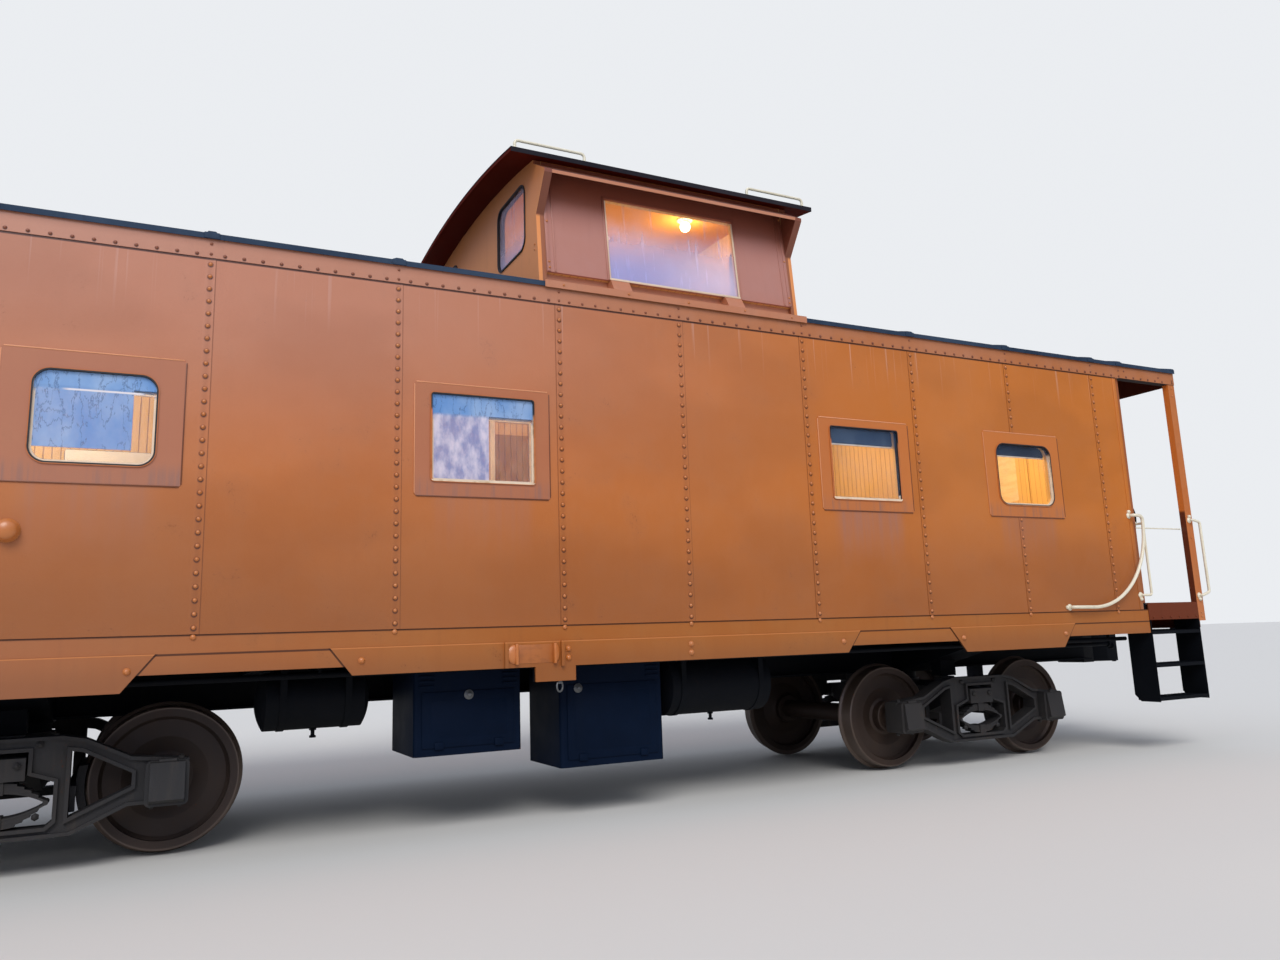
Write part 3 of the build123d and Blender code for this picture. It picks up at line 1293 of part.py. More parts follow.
# Journals, axles and wheels: one revolved body for each wheelset
AXLE_XS = (
    ("wheelset_1", TRUCK_X + WHEELBASE / 2),
    ("wheelset_2", TRUCK_X - WHEELBASE / 2),
    ("wheelset_3", -TRUCK_X + WHEELBASE / 2),
    ("wheelset_4", -TRUCK_X - WHEELBASE / 2),
)
RIM_OUT_Y = WHEEL_IN_Y + RIM_W
WHEEL_PROFILE = (
    (AXLE_R, HUB_IN_Y),
    (HUB_R - 8, HUB_IN_Y),
    (HUB_R, HUB_IN_Y + 8),
    (HUB_R, WHEEL_IN_Y + 20),
    (HUB_R + 24, WHEEL_IN_Y + 36),
    (240, WHEEL_IN_Y + 62),
    (RIM_IN_R - 20, WHEEL_IN_Y + 60),
    (RIM_IN_R, WHEEL_IN_Y + 42),
    (RIM_IN_R, WHEEL_IN_Y),
    (FLANGE_R - 12, WHEEL_IN_Y),
    (FLANGE_R - 3, WHEEL_IN_Y + 3),
    (FLANGE_R, WHEEL_IN_Y + 10),
    (FLANGE_R - 3, WHEEL_IN_Y + 18),
    (WHEEL_R + 8, WHEEL_IN_Y + 27),
    (WHEEL_R + 2, WHEEL_IN_Y + 36),
    (WHEEL_R - 3, RIM_OUT_Y - 6),
    (WHEEL_R - 9, RIM_OUT_Y),
    (RIM_IN_R, RIM_OUT_Y),
    (RIM_IN_R, WHEEL_IN_Y + 104),
    (RIM_IN_R - 20, WHEEL_IN_Y + 86),
    (240, WHEEL_IN_Y + 88),
    (HUB_R + 24, WHEEL_IN_Y + 66),
    (HUB_R, WHEEL_IN_Y + 76),
    (HUB_R, HUB_OUT_Y - 8),
    (HUB_R - 8, HUB_OUT_Y),
    (AXLE_R + 10, HUB_OUT_Y),
    (AXLE_R + 10, JOURNAL_IN_Y - JOURNAL_END_GAP),
    (JOURNAL_R, JOURNAL_IN_Y - JOURNAL_END_GAP),
    (JOURNAL_R, JOURNAL_OUT_Y),
)
for name, x in AXLE_XS:
    outline = [(0, -JOURNAL_OUT_Y)]
    outline += [(r, -y) for r, y in reversed(WHEEL_PROFILE)]
    outline += list(WHEEL_PROFILE)
    outline += [(0, JOURNAL_OUT_Y)]
    with BuildPart() as wheelset:
        with BuildSketch(Plane(origin=(x, 0, AXLE_Z))):
            with BuildLine():
                Polyline(*outline, close=True)
            make_face()
        revolve(axis=Axis((x, 0, AXLE_Z), (0, 1, 0)))
    wheelset.part.label = name
    export_step(wheelset.part, f"parts/{name}.step")

# Trucks: cast side frames with their journal boxes, bolster, leaf springs and brake gear.
# The half outlines run from the middle of the truck outwards: distance, height
FRAME_OUTLINE = (
    (0, 745),
    (300, 745),
    (420, 720),
    (650, 605),
    (WHEELBASE / 2 + JOURNAL_BOX_HALF_W, 574),
    (WHEELBASE / 2 + JOURNAL_BOX_HALF_W, 334),
    (640, 334),
    (360, 205),
    (0, 205),
)
SPRING_OPENING = (
    (0, 670),
    (BOLSTER_END_HALF_W + 10, 670),
    (BOLSTER_END_HALF_W + 10, 545),
    (270, 500),
    (270, SPRING_SEAT_Z + 30),
    (235, SPRING_SEAT_Z),
    (0, SPRING_SEAT_Z),
)
SIDE_OPENING = ((345, 660), (400, 650), (655, 515), (655, 440), (345, 300))
FRAME_IN_Y = SIDE_FRAME_Y - SIDE_FRAME_W / 2
FRAME_OUT_Y = SIDE_FRAME_Y + SIDE_FRAME_W / 2
BOX_TOP_FACE_Z = AXLE_Z + JOURNAL_BOX_UP
BOX_BOTTOM_FACE_Z = AXLE_Z - JOURNAL_BOX_DOWN
SPRING_MIDDLE_Z = (SPRING_SEAT_Z + BOLSTER_END_Z) / 2
SPRING_RISE = SPRING_MIDDLE_Z - SPRING_SEAT_Z - SPRING_BAND_T - SPRING_LEAVES * LEAF_T
LEAF_R = (LEAF_HALF_L**2 + SPRING_RISE**2) / (2 * SPRING_RISE)
for name, end in ENDS:
    x_mid = end * TRUCK_X
    with BuildPart() as side_frames:
        for side in (1, -1):
            with BuildSketch(side_plane(side, FRAME_IN_Y, FRAME_OUT_Y)) as casting:
                with BuildLine():
                    for hand in (1, -1):
                        Polyline(*((x_mid + hand * x, z) for x, z in FRAME_OUTLINE))
                make_face()
                with BuildLine():
                    for hand in (1, -1):
                        Polyline(*((x_mid + hand * x, z) for x, z in SPRING_OPENING))
                make_face(mode=Mode.SUBTRACT)
                for hand in (1, -1):
                    with BuildLine():
                        Polyline(*((x_mid + hand * x, z) for x, z in SIDE_OPENING), close=True)
                    make_face(mode=Mode.SUBTRACT)
            extrude(amount=SIDE_FRAME_W)
            with BuildSketch(side_plane(side, FRAME_OUT_Y - FRAME_RECESS, FRAME_OUT_Y)) as hollow:
                with BuildLine():
                    for hand in (1, -1):
                        Polyline(*((x_mid + hand * x, z) for x, z in FRAME_OUTLINE))
                make_face()
                offset(amount=-FRAME_RIM, kind=Kind.INTERSECTION, mode=Mode.REPLACE)
                with BuildSketch(mode=Mode.PRIVATE) as spring_hole:
                    with BuildLine():
                        for hand in (1, -1):
                            Polyline(*((x_mid + hand * x, z) for x, z in SPRING_OPENING))
                    make_face()
                    offset(amount=FRAME_RIM, kind=Kind.INTERSECTION, mode=Mode.REPLACE)
                add(spring_hole.sketch, mode=Mode.SUBTRACT)
                for hand in (1, -1):
                    with BuildSketch(mode=Mode.PRIVATE) as side_hole:
                        with BuildLine():
                            Polyline(*((x_mid + hand * x, z) for x, z in SIDE_OPENING), close=True)
                        make_face()
                        offset(amount=FRAME_RIM, kind=Kind.INTERSECTION, mode=Mode.REPLACE)
                    add(side_hole.sketch, mode=Mode.SUBTRACT)
            extrude(amount=FRAME_RECESS, mode=Mode.SUBTRACT)
            for hand in (1, -1):
                axle_x = x_mid + hand * WHEELBASE / 2
                with BuildSketch(side_plane(side, JOURNAL_IN_Y, JOURNAL_BOX_OUT_Y)):
                    with Locations((axle_x, (BOX_TOP_FACE_Z + BOX_BOTTOM_FACE_Z) / 2)):
                        RectangleRounded(
                            2 * JOURNAL_BOX_HALF_W, BOX_TOP_FACE_Z - BOX_BOTTOM_FACE_Z, 28
                        )
                extrude(amount=JOURNAL_BOX_OUT_Y - JOURNAL_IN_Y)
                with BuildSketch(cross_plane(axle_x - LID_HALF_W)):
                    with BuildLine():
                        Polyline(
                            (side * JOURNAL_BOX_OUT_Y, BOX_TOP_FACE_Z - 4),
                            (side * (JOURNAL_BOX_OUT_Y + LID_TOP_D), BOX_TOP_FACE_Z - 10),
                            (side * (JOURNAL_BOX_OUT_Y + LID_BOTTOM_D), BOX_BOTTOM_FACE_Z + 36),
                            (side * JOURNAL_BOX_OUT_Y, BOX_BOTTOM_FACE_Z + 14),
                            close=True,
                        )
                    make_face()
                extrude(amount=2 * LID_HALF_W)
                with BuildSketch(cross_plane(axle_x - LID_HALF_W / 2)):
                    with Locations((side * JOURNAL_BOX_OUT_Y, BOX_TOP_FACE_Z)):
                        Circle(LID_HINGE_R)
                extrude(amount=LID_HALF_W)
                with BuildSketch(side_plane(side, JOURNAL_IN_Y, JOURNAL_OUT_Y + JOURNAL_END_GAP)):
                    with Locations((axle_x, AXLE_Z)):
                        Circle(JOURNAL_R + JOURNAL_CLEARANCE)
                extrude(amount=JOURNAL_OUT_Y + JOURNAL_END_GAP - JOURNAL_IN_Y, mode=Mode.SUBTRACT)
    side_frames.part.label = f"truck_frames_{name}"
    export_step(side_frames.part, f"parts/truck_frames_{name}.step")

    bolster_end = FRAME_OUT_Y + 15
    with BuildPart() as bolster:
        with BuildSketch(cross_plane(x_mid - TRUCK_BOLSTER_HALF_W)):
            with BuildLine():
                for hand in (1, -1):
                    Polyline(
                        (0, CENTRE_PLATE_Z),
                        (hand * 260, CENTRE_PLATE_Z),
                        (hand * 700, 650),
                        (hand * bolster_end, 640),
                        (hand * bolster_end, BOLSTER_END_Z),
                        (hand * 820, BOLSTER_END_Z),
                        (hand * 500, 400),
                        (0, 400),
                    )
            make_face()
        extrude(amount=2 * TRUCK_BOLSTER_HALF_W)
        with BuildSketch(Plane.XY.offset(400)):
            with BuildLine():
                for hand in (1, -1):
                    Polyline(
                        (x_mid + TRUCK_BOLSTER_HALF_W, 0),
                        (x_mid + TRUCK_BOLSTER_HALF_W, hand * 780),
                        (x_mid + BOLSTER_END_HALF_W, hand * 880),
                        (x_mid + BOLSTER_END_HALF_W, hand * bolster_end),
                        (x_mid - BOLSTER_END_HALF_W, hand * bolster_end),
                        (x_mid - BOLSTER_END_HALF_W, hand * 880),
                        (x_mid - TRUCK_BOLSTER_HALF_W, hand * 780),
                        (x_mid - TRUCK_BOLSTER_HALF_W, 0),
                    )
            make_face()
        extrude(amount=CENTRE_PLATE_Z - 400, mode=Mode.INTERSECT)
        with BuildSketch(Plane(origin=(x_mid, 0, CENTRE_PLATE_Z))):
            Circle(CENTRE_PLATE_R + BOWL_CLEARANCE + BOWL_RIM)
            Circle(CENTRE_PLATE_R + BOWL_CLEARANCE, mode=Mode.SUBTRACT)
        extrude(amount=BOWL_H)
        with BuildSketch(Plane(origin=(x_mid, 0, 600))):
            with Locations((0, SIDE_BEARING_Y), (0, -SIDE_BEARING_Y)):
                Rectangle(2.6 * SIDE_BEARING_R, 1.6 * SIDE_BEARING_R)
        extrude(amount=TRUCK_SIDE_BEARING_Z - 600)
    bolster.part.label = f"truck_bolster_{name}"
    export_step(bolster.part, f"parts/truck_bolster_{name}.step")

    # Leaf springs: two bowed stacks that meet at their ends, held by a band each
    with BuildPart() as springs:
        for side in (1, -1):
            for stack in (1, -1):
                bow_z = SPRING_SEAT_Z + SPRING_BAND_T + SPRING_LEAVES * LEAF_T + LEAF_R
                for leaf in range(SPRING_LEAVES):
                    width = LEAF_W - LEAF_TRIM * (leaf % 2)
                    reach = LEAF_HALF_L - leaf * LEAF_STEP
                    arcs = []
                    for r in (LEAF_R + leaf * LEAF_T, LEAF_R + (leaf + 1) * LEAF_T):
                        tip_z = bow_z - sqrt(r**2 - reach**2)
                        arcs.append(
                            [
                                (x_mid + x, SPRING_MIDDLE_Z + stack * (z - SPRING_MIDDLE_Z))
                                for x, z in ((-reach, tip_z), (0, bow_z - r), (reach, tip_z))
                            ]
                        )
                    inner_y = SIDE_FRAME_Y - width / 2
                    with BuildSketch(side_plane(side, inner_y, inner_y + width)):
                        with BuildLine():
                            ThreePointArc(*arcs[0])
                            Line(arcs[0][2], arcs[1][2])
                            ThreePointArc(*reversed(arcs[1]))
                            Line(arcs[1][0], arcs[0][0])
                        make_face()
                    extrude(amount=width)
                seat_z = SPRING_MIDDLE_Z - stack * (SPRING_MIDDLE_Z - SPRING_SEAT_Z)
                band_h = 2 * SPRING_BAND_T + SPRING_LEAVES * LEAF_T
                band_in = SIDE_FRAME_Y - LEAF_W / 2 - SPRING_BAND_T
                band_w = LEAF_W + 2 * SPRING_BAND_T
                with BuildSketch(side_plane(side, band_in, band_in + band_w)):
                    with Locations((x_mid, seat_z + stack * band_h / 2)):
                        Rectangle(2 * SPRING_BAND_HALF_L, band_h)
                extrude(amount=band_w)
            eye_in = SIDE_FRAME_Y - LEAF_W / 2
            with BuildSketch(side_plane(side, eye_in, eye_in + LEAF_W)):
                for hand in (1, -1):
                    with Locations((x_mid + hand * LEAF_HALF_L, SPRING_MIDDLE_Z)):
                        Circle(SPRING_EYE_R)
            extrude(amount=LEAF_W)
    springs.part.label = f"truck_springs_{name}"
    export_step(springs.part, f"parts/truck_springs_{name}.step")

    with BuildPart() as brake_gear:
        for hand in (1, -1):
            axle_x = x_mid + hand * WHEELBASE / 2
            inner_r = WHEEL_R + SHOE_GAP
            for side in (1, -1):
                shoe_plane = side_plane(
                    side, WHEEL_IN_Y + 40, WHEEL_IN_Y + 40 + SHOE_W
                )
                with BuildSketch(shoe_plane):
                    with Locations((axle_x, AXLE_Z)):
                        Circle(inner_r + SHOE_T)
                        Circle(inner_r, mode=Mode.SUBTRACT)
                    with Locations((axle_x - hand * inner_r, AXLE_Z - 20)):
                        Rectangle(160, 260, mode=Mode.INTERSECT)
                extrude(amount=SHOE_W)
            beam_x = axle_x - hand * (inner_r + SHOE_T + 18)
            with BuildSketch(Plane.XZ.offset(-FRAME_IN_Y)):
                with Locations((beam_x, AXLE_Z - 20)):
                    Rectangle(50, 60)
            extrude(amount=2 * FRAME_IN_Y)
            for side in (1, -1):
                with BuildSketch(side_plane(side, FRAME_IN_Y - BEAM_FOOT_T, FRAME_IN_Y)):
                    with Locations((beam_x, AXLE_Z - 60)):
                        Rectangle(50, 140)
                extrude(amount=BEAM_FOOT_T)
    brake_gear.part.label = f"brake_gear_{name}"
    export_step(brake_gear.part, f"parts/brake_gear_{name}.step")
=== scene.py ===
import math

import bmesh
import bpy
import numpy as np
from mathutils import Matrix, Vector


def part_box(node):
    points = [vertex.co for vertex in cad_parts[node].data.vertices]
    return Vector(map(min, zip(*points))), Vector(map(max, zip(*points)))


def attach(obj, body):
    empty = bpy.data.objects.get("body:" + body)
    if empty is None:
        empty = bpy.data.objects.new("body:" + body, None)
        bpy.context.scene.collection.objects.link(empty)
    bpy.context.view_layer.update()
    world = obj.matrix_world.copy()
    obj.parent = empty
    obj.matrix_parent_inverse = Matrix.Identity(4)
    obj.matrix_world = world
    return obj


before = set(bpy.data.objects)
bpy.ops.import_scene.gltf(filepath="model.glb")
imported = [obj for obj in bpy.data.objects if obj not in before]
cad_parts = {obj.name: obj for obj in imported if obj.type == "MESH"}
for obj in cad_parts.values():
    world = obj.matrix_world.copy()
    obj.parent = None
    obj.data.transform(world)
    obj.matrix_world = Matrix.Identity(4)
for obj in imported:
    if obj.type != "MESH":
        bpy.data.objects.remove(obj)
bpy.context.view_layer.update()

# The studio: a wide pale floor under the wheels, an even pale sky and one broad soft
# lamp, with the camera low beside the rear half of the car, looking along to its front.
PHOTO_WIDE, PHOTO_HIGH, SENSOR = 1280, 960, 36
FOCAL_PIXELS, CENTRE_X, CENTRE_Y = 975.3, 636.6, 459.7
CAMERA_PLACE = (-2.998, -7.567, 1.174)
YAW, PITCH, ROLL = 0.4725, 0.1812, -0.0343
lens = bpy.data.cameras.new("camera")
lens.sensor_width = SENSOR
lens.lens = FOCAL_PIXELS / PHOTO_WIDE * SENSOR
lens.shift_x = (PHOTO_WIDE / 2 - CENTRE_X) / PHOTO_WIDE
lens.shift_y = (CENTRE_Y - PHOTO_HIGH / 2) / PHOTO_WIDE
camera = bpy.data.objects.new("camera", lens)
camera.matrix_world = (
    Matrix.Translation(CAMERA_PLACE)
    @ Matrix.Rotation(-YAW, 4, "Z")
    @ Matrix.Rotation(math.pi / 2 + PITCH, 4, "X")
    @ Matrix.Rotation(ROLL, 4, "Z")
)
studio = bpy.context.scene
studio.collection.objects.link(camera)
studio.camera = camera
studio.view_settings.view_transform = "Standard"


class Wire:
    """One output of a node, so that a sum on it reads as a sum."""

    def __init__(self, tree, socket):
        self.tree = tree
        self.socket = socket

    def maths(self, operation, first, second=0.0):
        return self.tree.node("ShaderNodeMath", 0, {"operation": operation}, {0: first, 1: second})

    def __add__(self, other):
        return self.maths("ADD", self, other)

    def __sub__(self, other):
        return self.maths("SUBTRACT", self, other)

    def __rsub__(self, other):
        return self.maths("SUBTRACT", other, self)

    def __mul__(self, other):
        return self.maths("MULTIPLY", self, other)

    def __truediv__(self, other):
        return self.maths("DIVIDE", self, other)

    __radd__, __rmul__ = __add__, __mul__

    def __abs__(self):
        return self.maths("ABSOLUTE", self)

    def nearest(self):
        return self.maths("ROUND", self)

    def stepped(self):
        return self.maths("FLOOR", self)

    def root(self):
        return self.maths("SQRT", self)

    def at_least(self, other):
        return self.maths("MAXIMUM", self, other)

    def at_most(self, other):
        return self.maths("MINIMUM", self, other)

    def rise(self, low, high):
        """0 below low and 1 above high, with a soft step between them."""
        soft = {"interpolation_type": "SMOOTHSTEP"}
        sockets = {"Value": self, "From Min": low, "From Max": high}
        return self.tree.node("ShaderNodeMapRange", "Result", soft, sockets)

    def fall(self, low, high):
        """1 below low and 0 above high."""
        return 1 - self.rise(low, high)

    def near(self, middle, reach, edge=0.02):
        """1 where the wire is within reach of the middle, 0 beyond."""
        return abs(self - middle).fall(reach, reach + edge)


def shade(*seen):
    """A colour as seen on a screen, 0 to 255, as the shader's own numbers."""
    parts = [value / 255 for value in seen]
    return (*(v / 12.92 if v <= 0.04045 else ((v + 0.055) / 1.055) ** 2.4 for v in parts), 1.0)


class Tree:
    """The nodes of a finish or of the sky, all of them made by one method."""

    def __init__(self, owner):
        owner.use_nodes = True
        self.nodes, self.links = owner.node_tree.nodes, owner.node_tree.links

    def feed(self, inputs, sockets):
        for key, value in sockets.items():
            if isinstance(value, Wire):
                self.links.new(value.socket, inputs[key])
            else:
                inputs[key].default_value = value

    def node(self, kind, output=0, settings={}, sockets={}):
        made = self.nodes.new(kind)
        for key, value in settings.items():
            setattr(made, key, value)
        self.feed(made.inputs, sockets)
        return Wire(self, made.outputs[output])

    def blend(self, first, second, mask):
        """Mixes two colours, each a wire or as seen on a screen."""
        first, second = (c if isinstance(c, Wire) else shade(*c) for c in (first, second))
        return self.node("ShaderNodeMix", 2, {"data_type": "RGBA"}, {0: mask, 6: first, 7: second})


world = studio.world = bpy.data.worlds.new("sky")
sky = Tree(world)
background = "ShaderNodeBackground"
sky_light = sky.node(background, 0, {}, {0: (0.86, 0.9, 1.0, 1), 1: 0.6})
pale_sky = sky.node(background, 0, {}, {0: (0.83, 0.85, 0.88, 1), 1: 1.0})
toward = sky.node("ShaderNodeTexCoord", "Generated")
lean = {0: toward, 1: (-0.45, -0.35, 1.0)}
lean = sky.node("ShaderNodeVectorMath", "Value", {"operation": "DOT_PRODUCT"}, lean)
lean = sky.node("ShaderNodeMapRange", 0, {}, {"Value": lean, "From Min": 0.08, "From Max": 0.75})
dusk = {0: lean, 6: (0.05, 0.05, 0.055, 1), 7: (0.72, 0.86, 1.25, 1)}
dusk = sky.node("ShaderNodeMix", 2, {"data_type": "RGBA"}, dusk)
dusk = sky.node(background, 0, {}, {0: dusk, 1: 1.0})
glossy, seen, through = (
    sky.node("ShaderNodeLightPath", f"Is {ray} Ray") for ray in ("Glossy", "Camera", "Transmission")
)
mirrored = sky.node("ShaderNodeMixShader", 0, {}, {0: glossy, 1: sky_light, 2: dusk})
choice = {0: seen.at_least(through), 1: mirrored, 2: pale_sky}
choice = sky.node("ShaderNodeMixShader", 0, {}, choice)
sky.feed(sky.nodes["World Output"].inputs, {"Surface": choice})

sun = bpy.data.lights.new("soft_lamp", "SUN")
sun.energy, sun.angle, sun.color = 1.9, math.radians(35), (1.0, 0.97, 0.93)
lamp = bpy.data.objects.new("soft_lamp", sun)
lamp.rotation_euler = (math.radians(48), 0, math.radians(-24))
studio.collection.objects.link(lamp)

bpy.ops.object.select_all(action="DESELECT")
bpy.ops.mesh.primitive_circle_add(vertices=96, radius=260, fill_type="NGON")
ground = bpy.context.object
ground.name = "studio_floor"
floor_finish = bpy.data.materials.new("studio_floor")
floor_tree = Tree(floor_finish)
pale = {"Base Color": (0.72, 0.72, 0.71, 1), "Roughness": 0.85, "Specular IOR Level": 0.1}
floor_tree.feed(floor_tree.nodes["Principled BSDF"].inputs, pale)
ground.data.materials.append(floor_finish)

# Side walls: steel sheets lapped at upright seams and riveted to the posts behind
# them, sprayed orange. The room side is lined with varnished upright boards.
ORANGE, ORANGE_FADED, GRIME_AND_SHADE = (188, 106, 41), (186, 114, 64), (112, 60, 28)
RUST, DULL_GRIME, SILL_GRIME = (92, 44, 24), (92, 52, 32), (90, 54, 32)
# The ceiling colour is a dark painted shade standing for the unlit ceiling.
BOARDS, BOARDS_DARK, UNLIT_CEILING_SHADE = (236, 192, 122), (160, 108, 54), (24, 32, 48)
SIDES = ENDS = (-1, 1)
FIRST_SEAM, PANEL, RIVET_PITCH = 0.481, 1.12, 0.0765
WALL_LOW, WALL_HIGH, WALL_OUT, WALL_END = 1.28, 3.497, 1.525, 5.304
CORNICE_Z = 3.34
WINDOW_PLATES = ((-3.733, -2.824), (-1.49, -0.572), (1.701, 2.617), (3.475, 4.392))


class Finish(Tree):
    """A surface made from noise and from the place on the car."""

    def __init__(self, name, *coat, **worn):
        self.material = bpy.data.materials.new(name)
        super().__init__(self.material)
        self.shader = self.nodes["Principled BSDF"]
        self.place = self.node("ShaderNodeTexCoord", "Object")
        axes = {"Vector": self.place}
        self.x, self.y, self.z = (self.node("ShaderNodeSeparateXYZ", a, {}, axes) for a in "XYZ")
        if coat:
            self.weather(*coat, **worn)

    def noise(self, scale, detail=4.0, stretch=(1, 1, 1), rough=0.55):
        place = {"Vector": self.place, "Scale": stretch}
        place = self.node("ShaderNodeMapping", "Vector", {}, place)
        sockets = {"Vector": place, "Scale": scale, "Detail": detail, "Roughness": rough}
        return self.node("ShaderNodeTexNoise", "Fac", {}, sockets)

    def weather(self, colour, faded, wear, rough=0.45, streaks=0.4, grime=GRIME_AND_SHADE, bare=RUST):
        """Old paint: slow fading, runs of dirt, fine speckle and small chips."""
        broad = self.noise(0.55, 3).rise(0.35, 0.68)
        cloud = self.noise(5.5, 6)
        speck = self.noise(85, 5, rough=0.65)
        runs = self.noise(2.2, 5, (9, 9, 0.45))
        self.tone = self.blend(colour, faded, broad * 0.55 + cloud.rise(0.4, 0.7) * 0.25)
        dirt = runs.rise(0.5, 0.8) * streaks + cloud.rise(0.55, 0.85) * 0.25
        self.tint(grime, dirt * wear)
        chips = (speck * 0.6 + cloud * 0.5).rise(0.68, 0.76)
        self.tint(bare, chips * wear)
        self.gloss = rough + (cloud - 0.5) * 0.25 + chips * 0.2
        self.height = cloud * 0.25 + speck * 0.08 - chips * 0.12

    def tint(self, colour, mask):
        self.tone = self.blend(self.tone, colour, mask)

    def boarding(self, along, ceiling_z=6.0):
        """Varnished upright boards, with painted shade of the unlit ceiling above a height."""
        groove = abs(along / 0.062 - (along / 0.062).nearest()).rise(0.42, 0.49)
        grain = self.noise(7, 5, (8, 8, 0.5))
        wood = self.blend(BOARDS, BOARDS_DARK, grain * 0.45 + groove * 0.5)
        return self.blend(wood, UNLIT_CEILING_SHADE, self.z.rise(ceiling_z, ceiling_z + 0.01)), groove

    def set(self, depth=0.0, **others):
        """Feeds the shader: tone, gloss, a bump of this depth, and the others by name."""
        others.update(Base_Color=self.tone, Roughness=self.gloss)
        if depth:
            bump = {"Height": self.height, "Distance": depth, "Strength": 1.0}
            others["Normal"] = self.node("ShaderNodeBump", "Normal", {}, bump)
        self.feed(self.shader.inputs, {key.replace("_", " "): others[key] for key in others})
        return self

    def paint(self, *nodes):
        """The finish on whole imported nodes."""
        for name in nodes:
            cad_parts[name].data.materials[0] = self.material


enamel = Finish("orange_enamel", ORANGE, ORANGE_FADED, 0.3, 0.42, 0.12)
seam_step = (abs(enamel.x) - FIRST_SEAM) / PANEL
seam_gap = abs(seam_step - seam_step.nearest()) * PANEL
sheet_tint = enamel.node(
    "ShaderNodeTexWhiteNoise", "Value", {"noise_dimensions": "1D"}, {"W": seam_step.stepped()}
)
enamel.tint(ORANGE_FADED, sheet_tint * 0.3)
washed = enamel.noise(2.3, 4, (15, 15, 0.2)).rise(0.6, 0.7)
enamel.tint((222, 184, 172), washed * enamel.z.rise(3.05, 3.5) * 0.42)
# Pinker high up and towards the rear end: painted reflection of the sky.
painted_sky_sheen = enamel.z.rise(1.9, 3.4) * (2.6 - enamel.x).rise(0.0, 5.0)
enamel.tint((188, 136, 122), painted_sky_sheen * 0.55)
enamel.tint((206, 120, 30), enamel.x.rise(-1.0, 4.5) * enamel.z.rise(1.5, 2.4) * 0.4)
# Darker and browner towards the bottom of the wall, most at the rear: painted shade.
painted_shade_low = enamel.z.fall(1.3, 2.3)
enamel.tint((118, 66, 22), painted_shade_low * 0.42)
enamel.tint((112, 70, 44), painted_shade_low * enamel.x.fall(-4.0, 1.0) * 0.25)
# Soft dark bands across the sheets: painted shade of the dents in the sheet.
enamel.tint(GRIME_AND_SHADE, enamel.noise(0.85, 2, (0.9, 1, 1.5)).rise(0.42, 0.62) * 0.15)
seam_side = (seam_step - seam_step.nearest()) * PANEL
outer = abs(enamel.x).rise(0.99, 1.0)
lap_shadow_line = seam_side.near(-0.0305, 0.0015, 0.003) * outer
lap_shadow_line = lap_shadow_line + seam_side.near(0.0305, 0.0015, 0.003) * (1 - outer)
# Darker beside each seam, with a dark line along each lap's edge: painted shade and painted shadow
# of the step.
enamel.tint(GRIME_AND_SHADE, seam_gap.fall(0.0, 0.028) * 0.18 + lap_shadow_line * 0.5)
# A dark ring set just below each rivet head: painted shadow of the head, with some dirt.
row = (enamel.z - WALL_LOW - 0.031) / RIVET_PITCH
row_gap = (row - row.nearest()) * RIVET_PITCH
ring = (seam_gap * seam_gap + row_gap * row_gap).root().fall(0.012, 0.021)
enamel.tint((70, 32, 16), ring * 0.82)
# A dark band just under the letterboards: painted shadow of their lower edge.
enamel.tint((60, 30, 18), enamel.z.rise(WALL_HIGH - 0.016, WALL_HIGH - 0.01) * 0.9)
streak = enamel.noise(2.5, 4, (9, 9, 0.25)).rise(0.4, 0.66)
fading_down = enamel.z.rise(1.62, 2.1) * enamel.z.fall(2.1, 2.12)
for (left, right), strength in zip(WINDOW_PLATES, (0.7, 0.6, 1.5, 0.9)):
    under = enamel.x.near((left + right) / 2, (right - left) / 2 - 0.2, 0.12)
    enamel.tint((150, 112, 106), under * fading_down * (streak * 0.16 + 0.22) * strength)
room_side = abs(enamel.y).fall(1.49, 1.5)
wood, groove = enamel.boarding(enamel.x, CORNICE_Z)
locker = enamel.x.near(0.225, 0.17, 0.002) * enamel.z.fall(3.2, 3.21)
locker_wood = enamel.blend((186, 140, 58), (142, 106, 44), enamel.noise(6, 5, (7, 7, 0.5)))
enamel.tint(enamel.blend(wood, locker_wood, locker), room_side)
dents = enamel.noise(0.9, 2) * 1.9 + enamel.noise(2.3, 2) * 0.6
enamel.height = (enamel.height + dents) * (1 - room_side) - groove * room_side * 0.6
enamel.set(0.009, Coat_Weight=0.35, Coat_Roughness=0.22, Specular_IOR_Level=0.35)
enamel.paint("side_wall_right", "side_wall_left")
cube, sphere = bpy.ops.mesh.primitive_cube_add, bpy.ops.mesh.primitive_uv_sphere_add


def started(add, **how):
    """A new primitive at its size and place, with edit mode open on it."""
    bpy.ops.object.select_all(action="DESELECT")
    add(**how)
    bpy.ops.object.transform_apply(location=True, rotation=True, scale=True)
    bpy.ops.object.mode_set(mode="EDIT")
    return bpy.context.object


def ended(piece, angle=40):
    """Closes edit mode, merges what touches and smooths the round parts."""
    bpy.ops.mesh.select_all(action="SELECT")
    bpy.ops.mesh.remove_doubles(threshold=0.00005)
    bpy.ops.mesh.normals_make_consistent(inside=False)
    bpy.ops.object.mode_set(mode="OBJECT")
    bpy.ops.object.shade_smooth_by_angle(angle=math.radians(angle))
    return piece


def pick(piece, test):
    """In edit mode, selects only the faces that pass the test."""
    bpy.ops.mesh.select_mode(type="FACE")
    bpy.ops.mesh.select_all(action="DESELECT")
    cage = bmesh.from_edit_mesh(piece.data)
    for face in cage.faces:
        face.select_set(bool(test(face)))
    bmesh.update_edit_mesh(piece.data)


